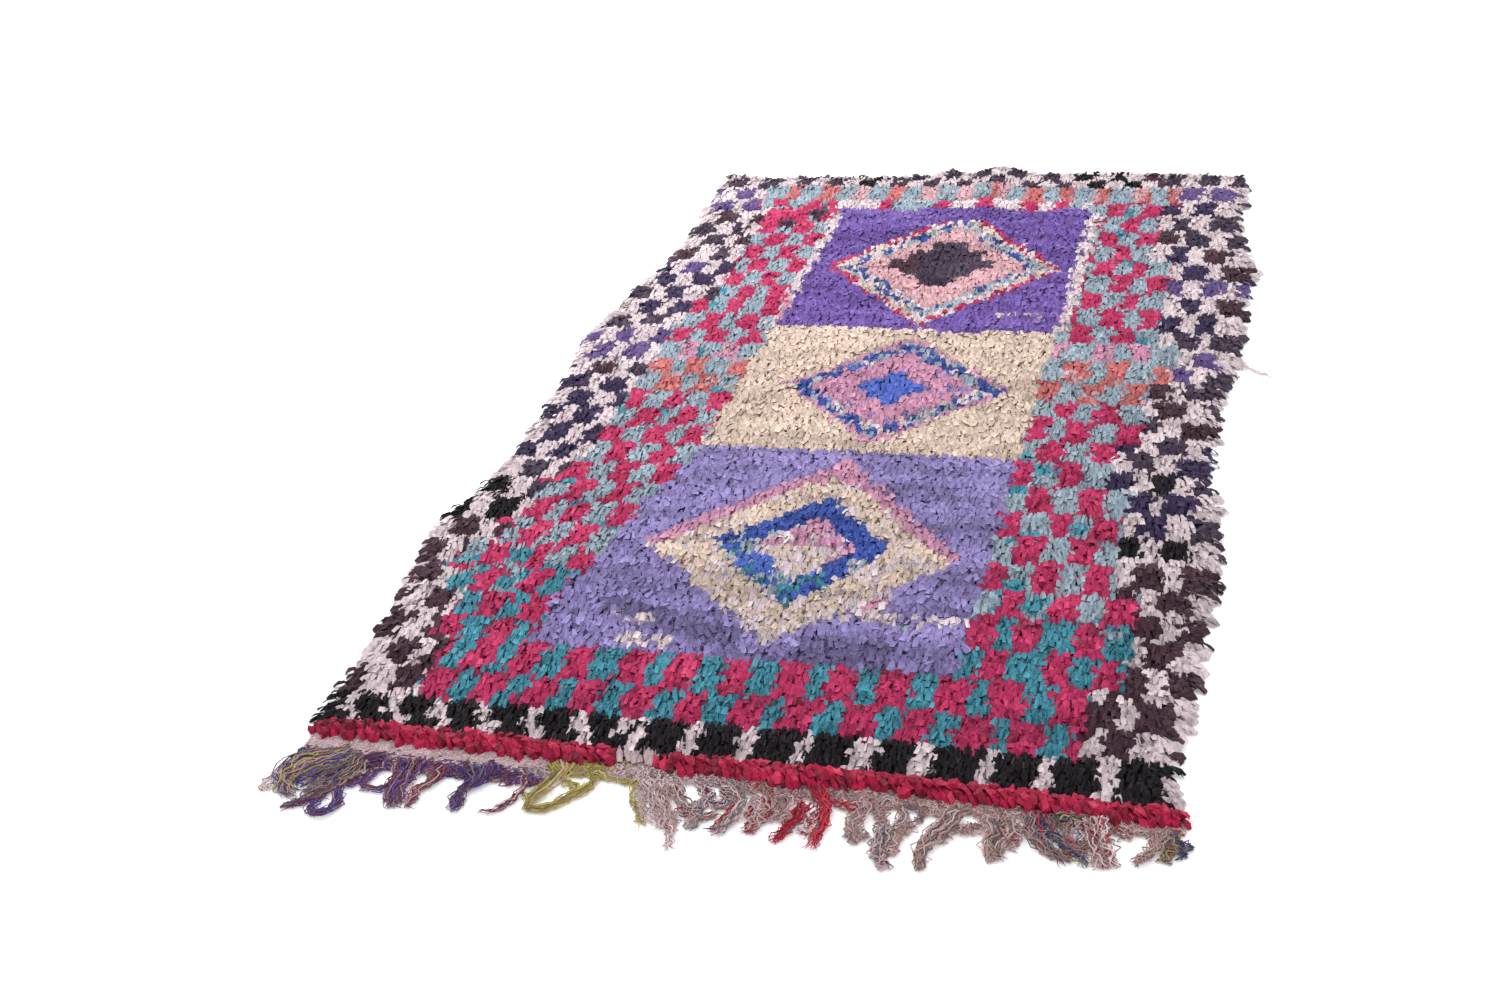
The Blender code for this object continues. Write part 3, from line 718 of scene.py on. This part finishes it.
around = surroundings()
at = knots()
row_jitter = 0.0045 * (pick(at[:, 2], np.floor(at[:, 0] / 0.045) + 30, 51) - 0.5) * 2
yarn_at = chart(*seen(at[:, 0], at[:, 1], row_jitter))
for k, name in enumerate(YARNS):
    own = at[yarn_at == k, :2]
    cut = CUTS.get(name, PLAIN_CUT)
    rag = shader("rag_" + name, shades(SHADES[name], SPREADS.get(name, 1.0)), 0.88, *cut[3:])
    inside, rim = strips_of(own, name)
    for kind, (points, depth, tone), layout in (
        ("pile_", inside, strip_layout(len(INSIDE))), ("rim_", rim, strip_layout(len(RIM))),
        ("roots_", pads(own), PAD_LAYOUT),
    ):
        if len(points):
            piece(kind + name, points, layout, tone, depth, rag, "rag_pile")


# The ground
GROUND_CELLS = (44, 80)
GROUND_FROM, GROUND_LONG = -0.04, 2.38
FAR_BARE = 0.010


def ground_sheet():
    """The woven ground as a closed thin cloth, lifting with the folds."""
    columns, rows = (cells + 1 for cells in GROUND_CELLS)
    t = np.linspace(0, 1, rows)[:, None] * np.ones(columns)
    left, right = (eased(SELVEDGES, GROUND_FROM + GROUND_LONG * t, side) for side in (1, 2))
    x = left + (right - left) * np.linspace(0, 1, columns)
    near = eased(NEAR_END, x)
    along = near + (eased(FAR_END, x) - FAR_BARE - near) * t
    low = lift(x, along)
    sheets = [np.stack((x, along - MIDDLE, high), -1).reshape(-1, 3) for high in (low + GROUND_TOP, low)]
    points = np.concatenate(sheets)

    # Faces on top, below and round the edge
    top = np.arange(rows * columns).reshape(rows, columns)
    under = top + rows * columns
    above = np.stack((top[:-1, :-1], top[:-1, 1:], top[1:, 1:], top[1:, :-1]), -1)
    below = np.stack((under[:-1, :-1], under[1:, :-1], under[1:, 1:], under[:-1, 1:]), -1)
    quads = [above.reshape(-1, 4), below.reshape(-1, 4)]
    for a, b in (
        (top[0], under[0]), (top[::-1, 0], under[::-1, 0]), (top[-1, ::-1], under[-1, ::-1]),
        (top[:, -1], under[:, -1]),
    ):
        quads.append(np.stack((a[:-1], b[:-1], b[1:], a[1:]), -1))
    quads = np.concatenate(quads)
    mesh = bpy.data.meshes.new("ground")
    mesh.from_pydata(points.tolist(), [], quads.tolist())

    # The top on the left half of the flat picture, the underside on the right
    corner = quads.reshape(-1)
    size = points.max(0) - points.min(0)
    uv = ((points - points.min(0))[:, :2] / size[:2])[corner] * (0.48, 0.98) + (0.01, 0.01)
    uv[corner >= rows * columns] += (0.5, 0)
    unroll(mesh, uv)
    mesh.polygons.foreach_set("use_smooth", np.full(len(quads), True))
    mesh.update()
    return placed("ground", mesh, weave_material())


# The red courses
COURSES = ((-0.655, -0.145), (-0.098, 0.662))
COURSE_DEPTH = 0.034
COURSE_HIGH = 0.0105
PETAL_STEP = 0.0068
CORE_RINGS, CORE_SIDES = 120, 8
# Row of petals: how far behind the middle it starts and how high, which way it lies, its length and slopes
PETALS = (
    (0.001, 0.0065, 1.0, 0.023, (0.60, -0.25, -0.80)),
    (-0.006, 0.0055, -1.0, 0.026, (0.50, -0.40, -0.95)),
    (0.005, 0.0075, -1.0, 0.026, (0.65, -0.05, -0.65)),
)
PETAL_SHAPE = ((0.34, 0.80), (0.34, 1.10), (0.32, 0.75))


def course_middle(x):
    """How far along the middle of the red courses is."""
    sway = 0.0028 * np.sin(x * 9.0) + 0.0016 * np.sin(x * 31.0) - 0.006 * smooth_noise(x, x * 0, 0.11, 61)
    return COURSE_DEPTH / 2 - 0.002 + sway + skew(x, 0) - 0.008 * np.exp(-(((x - 0.10) / 0.04) ** 2))


def petals():
    """Puckered folds of red rag over the two twined courses."""
    found = []
    for behind, high, way, long, slopes in PETALS:
        x = np.concatenate([np.arange(a + 0.006, b - 0.003, PETAL_STEP) for a, b in COURSES])
        n = len(x)
        x = x + rng.uniform(-0.003, 0.003, n)
        ends = [
            np.clip(np.minimum(x - a, b - x) / 0.03, 0, 1) + 9.0 * ((x < a) | (x > b)) for a, b in COURSES
        ]
        taper = np.clip(np.min(ends, 0), 0.35, 1)
        hump = np.exp(-(((x - 0.13) / 0.02) ** 2))
        root = np.stack((x, course_middle(x) + behind, GROUND_TOP + high * taper + 0.004 * hump), -1)
        azimuth = way * math.pi / 2 - way * rng.normal(0.92, 0.30, n)
        length = long * rng.normal(1.0, 0.12, n) * (0.5 + 0.5 * taper)
        tilt = [np.full(n, slope) + rng.normal(0, 0.16, n) for slope in slopes]
        wide, thick = 0.0120 * rng.normal(1, 0.25, n), 0.0042 * rng.normal(1, 0.25, n)
        points, depth = strips(root, azimuth, length, wide, tilt, PETAL_SHAPE, thick, 0.0011, LEAN)
        points[..., 2] = np.maximum(points[..., 2], LEAST_HEIGHT)
        found.append((points, depth, tones(0.38, 0.20, n)))
    return [np.concatenate(part) for part in zip(*found)]


def course_cores():
    """The roll under the petals, one for each course."""
    turn = np.linspace(0, math.pi, CORE_SIDES)
    points = []
    for start, end in COURSES:
        x = np.linspace(start, end, CORE_RINGS)[:, None]
        taper = np.clip(np.minimum(x - start, end - x) / 0.03, 0.2, 1)
        along = course_middle(x) - np.cos(turn) * COURSE_DEPTH * 0.40 * taper
        high = GROUND_TOP + 0.0002 + np.sin(turn) * COURSE_HIGH * taper
        points.append(np.stack((x + 0 * turn, along, high), -1).reshape(-1, 3))
    # Painted shade: the cores lie under the petals and are darkened all over.
    return np.stack(points), np.full((2, CORE_RINGS * CORE_SIDES), 0.35), np.array((0.35, 0.35))


red = shader("rag_course", shades((196, 18, 72), 1.35), 0.60, 0.05, 240, 1.0)
points, depth, tone = petals()
course = piece("red_course_petals", points, strip_layout(len(PETAL_SHAPE)), tone, depth, red, "red_rag")
points, depth, tone = course_cores()
layout = tube_layout(CORE_RINGS, CORE_SIDES)
core = piece("red_course_core", points, layout, tone, depth, red, "red_rag", smooth_shaded=True)
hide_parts("red_course_left", "red_course_right")

# Yarns: the fringe, the loose tufts and the near wefts
RINGS = 13
FRIZZ = 0.0150
YARN_SHADES = dict(
    cream=(201, 177, 180), beige=(171, 137, 132), grey=(112, 102, 106), violet=(84, 58, 138),
    maroon=(116, 64, 88), olive=(176, 162, 88), red=(176, 24, 50), navy=(56, 56, 98),
    pink=(196, 160, 162),
)
MIXES = dict(
    tangle=dict(grey=0.38, violet=0.20, olive=0.08, beige=0.34),
    violet=dict(violet=0.44, maroon=0.32, grey=0.24),
    maroon=dict(maroon=0.48, violet=0.22, beige=0.20, grey=0.10),
    rust=dict(maroon=0.46, red=0.14, beige=0.40),
    olive=dict(olive=0.88, beige=0.12),
    cream=dict(cream=0.78, beige=0.18, grey=0.04),
    grey=dict(cream=0.50, grey=0.18, beige=0.24, red=0.05, navy=0.03),
    beige=dict(beige=0.66, cream=0.26, grey=0.08),
    red_beige=dict(beige=0.56, red=0.18, cream=0.26),
    red=dict(red=0.86, maroon=0.14),
    grey_red=dict(grey=0.40, beige=0.32, red=0.12, navy=0.08, olive=0.08),
    navy=dict(navy=0.60, grey=0.40),
    loose=dict(cream=0.6, pink=0.4),
)
# A bundle's mix, number of yarns, half-widths at root, middle and tip, then the way it lies as x and along by
# turns, all in mm. A row that goes on starts with a space.
BUNDLES = """
tangle 46 20 26 18 -552 -45 -588 -67 -613 -93 -627 -112 -610 -136
tangle 44 26 32 26 -536 -48 -556 -80 -574 -108 -590 -132
tangle 30 10 14 12 -596 -52 -630 -62 -641 -86 -634 -113 -614 -136 -591 -143
tangle 26 14 18 14 -523 -58 -541 -99 -563 -123 -593 -133
grey 5 4 2 4 -641 -92 -654 -105 -662 -117 -656 -135 -646 -128 -637 -108
violet 22 8 8 3 -500 -40 -531 -49 -547 -72 -563 -96 -553 -114 -559 -134 -582 -153 -608 -171
violet 16 7 5 5 -554 -100 -532 -134 -529 -161 -547 -172 -562 -165 -562 -147 -551 -133
tangle 12 6 6 3 -567 -108 -578 -131 -589 -154 -609 -168
maroon 12 7 4 7 -497 -59 -501 -87 -508 -106 -482 -111 -461 -93 -454 -66
maroon 14 8 6 5 -494 -53 -512 -89 -531 -104 -538 -117
maroon 44 22 14 17 -458 -45 -448 -79 -448 -111 -436 -146
maroon 16 12 8 6 -468 -44 -461 -76 -461 -108 -454 -136
rust 24 14 8 5 -404 -51 -403 -78 -417 -106 -417 -143
maroon 10 8 5 6 -437 -45 -404 -67 -389 -67
violet 40 20 9 6 -339 -41 -337 -68 -349 -88 -351 -114 -349 -141
violet 20 16 10 6 -378 -41 -352 -59 -350 -85
maroon 10 8 6 4 -338 -30 -308 -47 -322 -60
maroon 7 4 2 1.5 -269 -47 -264 -75 -274 -110 -294 -128 -312 -135
cream 18 9 8 6 -266 -25 -247 -43 -226 -51 -244 -32
olive 20 11 8 9 -234 -12 -220 -36 -227 -64 -241 -97 -251 -109 -237 -117 -214 -112 -199 -93 -183 -70
 -167 -56 -166 -36 -178 -17 -189 1
olive 11 8 6 6 -217 -6 -217 -31 -208 -51 -187 -59 -191 -78 -209 -95
olive 10 6 4 5 -229 -19 -200 -33 -184 -26 -170 -37
olive 10 6 5 6 -205 1 -180 -17 -165 -34
olive 13 8 8 7 -243 -7 -216 -1 -182 -1 -174 -5
olive 11 7 8 8 -228 -61 -244 -80 -252 -102
olive 9 4 3 3 -171 -29 -146 -33 -120 -36 -101 -38
olive 9 4 3 3 -175 -16 -155 -18 -139 -1 -109 -5 -97 -7
olive 7 3 2 2 -107 -33 -98 -70 -80 -100 -68 -121 -61 -137
cream 22 10 8 8 -86 -30 -73 -59 -51 -91 -34 -128
cream 34 12 13 8 -68 -42 -54 -76 -33 -108 -19 -135
cream 6 5 2 1 -24 -121 -19 -145 -17 -171
cream 8 4 3 4 -97 -31 -88 -66 -73 -99 -55 -126
cream 12 6 5 6 -69 -27 -53 -56 -45 -44 -41 -28
grey 18 7 5 6 -44 -36 -25 -67 -9 -82 3 -70 6 -48 -8 -31
grey 14 6 5 5 -1 -32 16 -60 33 -73 34 -52 22 -34
grey 34 12 10 6 28 -30 56 -52 57 -84 43 -118 34 -128
grey 20 9 8 6 -4 -68 6 -92 2 -112 -1 -124
grey 10 5 5 5 -26 -82 -6 -96 18 -95 36 -77
red 6 2.5 2 1.5 50 -52 49 -80 41 -104 32 -123
red_beige 34 16 12 7 85 -46 92 -73 89 -99 88 -120
red 5 2 2 3 77 -59 79 -84 85 -106 86 -121
beige 24 12 11 9 98 -44 102 -72 99 -95
red_beige 26 12 11 9 114 -37 122 -64 122 -92
red_beige 14 6 5 5 163 -67 173 -86 164 -101 150 -100
red 24 9 8 6 149 -48 146 -76 135 -107 122 -131
red 30 9 8 7 147 6 166 -29 180 -57 182 -91 178 -116 177 -137
red 12 7 5 3 155 -7 177 -32 194 -44
red_beige 16 7 6 6 194 -39 217 -45 232 -31 236 -19
beige 32 9 10 10 235 -35 227 -61 223 -80 229 -101 236 -118
beige 12 7 8 8 229 -88 241 -100 252 -93
beige 16 8 6 6 237 -23 253 -44 262 -65
beige 16 6 5 6 251 -32 264 -21 283 -34 290 -61 277 -69
beige 18 7 6 6 261 -67 280 -87 296 -77 310 -55
grey 30 9 8 6 272 -77 270 -106 272 -132 286 -161
beige 18 8 7 5 288 -79 288 -105 286 -134
beige 12 5 5 5 286 -25 296 -30 309 -35 313 -55 302 -61
beige 40 12 10 4 362 -34 350 -60 334 -89 327 -121 333 -153
beige 14 8 8 5 358 -50 349 -78 356 -97
beige 18 8 6 6 355 -21 376 -22 393 -33 400 -50
beige 14 7 5 6 354 -59 375 -67 393 -51
beige 12 5 4 5 313 -21 331 -36 345 -41 352 -28
beige 18 8 6 7 363 -23 385 -14 408 -27 428 -53
beige 12 6 6 6 371 -69 388 -64 401 -51
beige 54 20 17 13 421 -41 423 -72 420 -98 427 -122
red_beige 16 8 6 4 437 -43 447 -68 443 -97
grey_red 34 11 11 7 461 -21 471 -64 495 -88 524 -109
grey_red 22 12 8 3 482 -29 501 -64 533 -91 549 -110
grey 4 3 3 2 512 -88 535 -84 556 -74
grey_red 34 10 9 8 496 -25 518 -13 539 -25 545 -59 530 -78 510 -71
grey 18 10 9 7 517 -26 513 -49 524 -69 541 -66
red_beige 60 16 14 17 547 -24 554 -55 563 -84 571 -111
red_beige 22 9 8 6 554 -27 577 -32 599 -50
beige 22 8 9 8 580 -27 600 -28 625 -29
beige 30 12 8 4 637 -31 630 -62 616 -82 600 -95
grey_red 14 6 6 5 644 -45 652 -61 642 -80 648 -93
navy 20 8 6 3 647 -32 655 -52 668 -76
navy 8 5 3 2 655 -43 676 -59
grey_red 14 9 7 5 631 -26 649 -44 658 -56
loose 3 2 4 6 648 1352 690 1340 715 1322 738 1302
loose 2 2 3 3 650 1345 676 1350 696 1360
loose 2 2 3 4 648 1340 672 1335 690 1338
olive 6 3 4 5 -612 2330 -636 2338 -652 2332
"""
# Where the lacy edge changes: up to which x, in mm, its mix and how far along its yarns start
NET = (
    (-590, "tangle", -38), (-500, "violet", -42), (-250, "maroon", -41), (-165, "olive", -4),
    (0, "cream", -3), (60, "grey", -2), (150, "red_beige", -2), (460, "beige", -2), (560, "grey_red", -2),
    (660, "red_beige", -2),
)


def along_path(points, count):
    """Evenly spaced places on a smooth curve through the points."""
    points = np.array(points, float)
    ends = np.concatenate((2 * points[:1] - points[1:2], points, 2 * points[-1:] - points[-2:-1]))
    t = np.linspace(0, 1, 12, endpoint=False)[:, None]
    fine = [
        0.5 * (2 * b + (c - a) * t + (2 * a - 5 * b + 4 * c - d) * t ** 2 + (3 * b - a - 3 * c + d) * t ** 3)
        for a, b, c, d in zip(ends, ends[1:], ends[2:], ends[3:])
    ]
    fine = np.concatenate(fine + [points[-1:]])
    run = np.concatenate(([0], np.cumsum(np.linalg.norm(np.diff(fine, axis=0), axis=1))))
    at = np.linspace(0, run[-1], count)
    return np.stack([np.interp(at, run, fine[:, k]) for k in range(2)], -1)


def tubes(lines, radius):
    """Three-sided tubes along lines, (count, rings, 3), that thin out at the far end."""
    count, rings = lines.shape[:2]
    step = unit(np.gradient(lines, axis=1))
    side = unit(np.stack((-step[..., 1], step[..., 0], np.zeros((count, rings))), -1))
    up = np.cross(step, side)
    thin = np.ones(rings)
    thin[-2:] = 0.8, 0.35
    size = radius[:, None, None] * thin[:, None] * rng.uniform(0.85, 1.15, (count, rings, 1))
    angle = rng.uniform(0, 2, count)[:, None, None] + np.arange(3)[:, None, None, None] * 2 * math.pi / 3
    corners = lines + side * size * np.cos(angle) + up * size * np.sin(angle)
    return corners.transpose(1, 2, 0, 3).reshape(count, rings * 3, 3)


def bundle(mix, count, *sizes):
    """Yarns that run together along a path, loosely twisted, resting on the floor. Returns their middle lines
    and the name of each one's yarn."""
    widths, path = np.split(np.array(sizes) * 1e-3, [3])
    middle = along_path(path.reshape(-1, 2), RINGS)
    t = np.linspace(0, 1, RINGS)
    half = np.interp(t, (0, 0.45, 1), widths)
    step = unit(np.gradient(middle, axis=0))
    side = np.stack((-step[:, 1], step[:, 0]), -1)
    place = rng.uniform(-1, 1, (count, 1))
    level = rng.uniform(0, 1, (count, 1))
    twist = rng.normal(1.2, 0.9, (count, 1)) * t
    own = rng.uniform(0, 90, (2, count, 1))
    sway = smooth_noise(t * 9 + own[0], own[1], 1.0, 71) - 0.5
    curl = (smooth_noise(t * 15 + own[1], own[0], 1.0, 72) - 0.5) * (0.7 + (own[0] % 3 < 1) * t * 1.0)
    reach = rng.uniform(0.80, 1.04, (count, 1))
    lateral = (place * np.cos(twist) + (level - 0.5) * np.sin(twist)) * half + (sway + curl) * FRIZZ
    along_it = np.clip(t * reach, 0, 1.0)
    base, beside = (
        np.stack([np.interp(along_it, t, line[:, k]) for k in range(2)], -1) for line in (middle, side)
    )
    flat = base + beside * lateral[..., None]
    stack = 0.0022 + 0.00014 * count
    high = stack * np.clip(level * np.cos(twist) + 0.6 * sway + 0.3, 0, 1.3) * (1 - 0.55 * t)
    high = high + 0.0017 + lift(flat[..., 0], flat[..., 1])
    return np.concatenate((flat, high[..., None]), -1), mixed_yarns(MIXES[mix], count)


def netting():
    """The lacy knotted edge at the roots of the fringe."""
    found = []
    for k, x in enumerate(range(-636, 652, 16)):
        mix, start = next((mix, start) for end, mix, start in NET if x < end)
        deep = -(22 + 14 * pick(k, 4, 77)) * (0.7 if start < -10 else 1)
        wide = 15 + 16 * pick(k, 5, 77)
        found.append(bundle(
            mix, 7, 4, 3, 4, x, start, x - 2, start + deep * 0.6, x + wide * 0.3, start + deep,
            x + wide * 0.8, start + deep * 0.7, x + wide, start - 2,
        ))
        found.append(bundle(mix, 6, 5, 3, 4, x + 22, start - 3, x + 6, start - 12, x - 13, start - 22))
    return found


def bundles():
    """The fringe's bunches and the loose yarns."""
    rows = [row.split() for row in BUNDLES.replace("\n ", " ").strip().split("\n")]
    return [bundle(mix, int(count), *map(float, sizes)) for mix, count, *sizes in rows]


lines, yarns = [np.concatenate(part) for part in zip(*netting(), *bundles())]
yarn_material = {k: shader("yarn_" + k, shades(rgb), 0.9, 0.08, 900, 0.7) for k, rgb in YARN_SHADES.items()}


def by_yarn(shapes, yarns):
    """Each yarn's name and material, with the shapes that are made of it."""
    for name, material in yarn_material.items():
        own = shapes[yarns == name]
        if len(own):
            yield name, material, own


for name, material, own in by_yarn(lines, yarns):
    points = tubes(own, rng.uniform(0.00080, 0.00145, len(own)))
    tone, depth = tones(0.45, 0.2, len(own)), np.ones((len(own), RINGS * 3))
    layout = tube_layout(RINGS, 3)
    piece("fringe_" + name, points, layout, tone, depth, material, "warp_yarn")
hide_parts("warp_fringe", "selvedge_yarn")

# A stitch's length and width
STITCH = (0.0052, 0.0034)
# Flat weave that shows: from and to in x, then along, and the yarns' shares in its near rows and the rest
FLAT_WEAVES = (
    (-0.640, -0.250, -0.045, 0.006, dict(maroon=0.20, violet=0.16, grey=0.14, cream=0.50),
     dict(cream=0.74, pink=0.24, maroon=0.02)),
    (-0.250, -0.098, -0.022, 0.012, dict(beige=0.6, cream=0.3, olive=0.1), dict(cream=0.5, beige=0.5)),
)


def stitches():
    """Short floats of weft over the warps, row by row, with the name of each one's yarn."""
    found = []
    for x0, x1, y0, y1, near_mix, mix in FLAT_WEAVES:
        rows = int((y1 - y0) / STITCH[1])
        for r in range(rows):
            x = np.arange(x0, x1, STITCH[0]) + (r % 2) * STITCH[0] / 2
            y = y0 + r * STITCH[1] + 0.0010 * smooth_noise(x, x * 0 + r * 0.01, 0.04, 82)
            found.append((np.stack((x, y), -1), mixed_yarns(near_mix if r < rows * 0.3 else mix, len(x))))
    at, yarns = [np.concatenate(part) for part in zip(*found)]
    n = len(at)
    slant = rng.normal(0.22, 0.12, n)
    ahead = np.stack((np.cos(slant), np.sin(slant), np.zeros(n)), -1)
    beside = np.stack((-np.sin(slant), np.cos(slant), np.zeros(n)), -1)
    middle = np.concatenate((at, np.full((n, 1), GROUND_TOP)), -1)
    corners = []
    for place, wide, high in ((-1, 0.35, 0.0), (0, 1.0, 1.0), (1, 0.35, 0.0)):
        centre = middle + ahead * place * STITCH[0] * 0.56 + np.array((0, 0, 0.0008 * high))
        for turn in range(4):
            a = math.pi * turn / 2
            size = rng.uniform(0.85, 1.15, (n, 1))
            out = beside * np.cos(a) * STITCH[1] * 0.52 + np.array((0, 0, np.sin(a) * 0.0011))
            corners.append(centre + out * wide * size)
    return np.stack(corners, 1), yarns


def ribs():
    """The ribbed patch between the two red courses."""
    n = 9
    x = np.linspace(-0.150, -0.094, n)
    root = np.stack((x - 0.004, np.full(n, 0.044), np.full(n, GROUND_TOP + 0.003)), -1)
    slopes = [np.full(n, slope) for slope in (0.35, 0.0, -0.30)]
    points, depth = strips(
        root, rng.normal(-1.15, 0.08, n), rng.normal(0.050, 0.004, n), np.full(n, 0.010), slopes,
        PETAL_SHAPE, np.full(n, 0.0030), 0.0006, LEAN,
    )
    return points, strip_layout(len(PETAL_SHAPE)), tones(0.4, 0.15, n), depth


for name, material, own in by_yarn(*stitches()):
    tone = tones(0.68, 0.2, len(own))
    # Painted shade: each stitch is darker at its ends, where it dips under the warps.
    depth = np.tile(np.repeat((0.85, 1.0, 0.85), 4), (len(own), 1))
    wefts = piece("wefts_" + name, own, tube_layout(3, 4), tone, depth, material, "ground_cotton")
piece("course_gap_ribs", *ribs(), yarn_material["cream"], "ground_cotton")

ground = ground_sheet()
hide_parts("ground_weave")
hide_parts("rag_pile")

# Floor, light and camera
floor_mesh = bpy.data.meshes.new("floor")
floor_mesh.from_pydata([(-30, -30, 0), (30, -30, 0), (30, 30, 0), (-30, 30, 0)], [], [(0, 1, 2, 3)])
floor = bpy.data.objects.new("floor", floor_mesh)
bpy.context.scene.collection.objects.link(floor)
floor.location.z = -0.0004
paint, *_ = plain_material(
    "floor_paint", Base_Color=(0.93, 0.93, 0.94, 1), Roughness=0.9, Emission_Color=(1, 1, 1, 1),
    Emission_Strength=0.14,
)
floor_mesh.materials.append(paint)

world = bpy.data.worlds.new("studio")
bpy.context.scene.world = world
world.use_nodes = True
sky = world.node_tree.nodes["Background"]
fill(world.node_tree, sky, {"Color": (0.97, 0.98, 1.0, 1), "Strength": 0.92})


def softbox(name, place, target, size, power):
    light = bpy.data.lights.new(name, "AREA")
    light.shape = "RECTANGLE"
    light.size, light.size_y = size
    light.energy = power
    obj = bpy.data.objects.new(name, light)
    obj.location = place
    obj.rotation_euler = (Vector(target) - Vector(place)).to_track_quat("-Z", "Y").to_euler()
    bpy.context.scene.collection.objects.link(obj)


softbox("key", (-2.3, 1.5, 3.0), (0, 0, 0), (2.2, 2.2), 105)
softbox("fill", (2.4, -1.2, 2.8), (0, 0.1, 0), (2.5, 2.5), 16)
softbox("back", (0.6, 3.6, 2.6), (0, 0.4, 0), (3.0, 1.6), 34)

camera = bpy.data.cameras.new("camera")
camera.lens = 43.684
camera.sensor_width = 36.0
eye = bpy.data.objects.new("camera", camera)
right = Vector((0.95970, 0.26388, -0.09667))
above = Vector((-0.05423, 0.51141, 0.85762))
back = Vector((0.27574, -0.81782, 0.50511))
turn = Matrix((right, above, back)).transposed()
eye.matrix_world = Matrix.Translation((0.75169, -1.92349 - MIDDLE, 1.65341)) @ turn.to_4x4()
bpy.context.scene.collection.objects.link(eye)
bpy.context.scene.camera = eye
bpy.context.scene.view_settings.view_transform = "Standard"
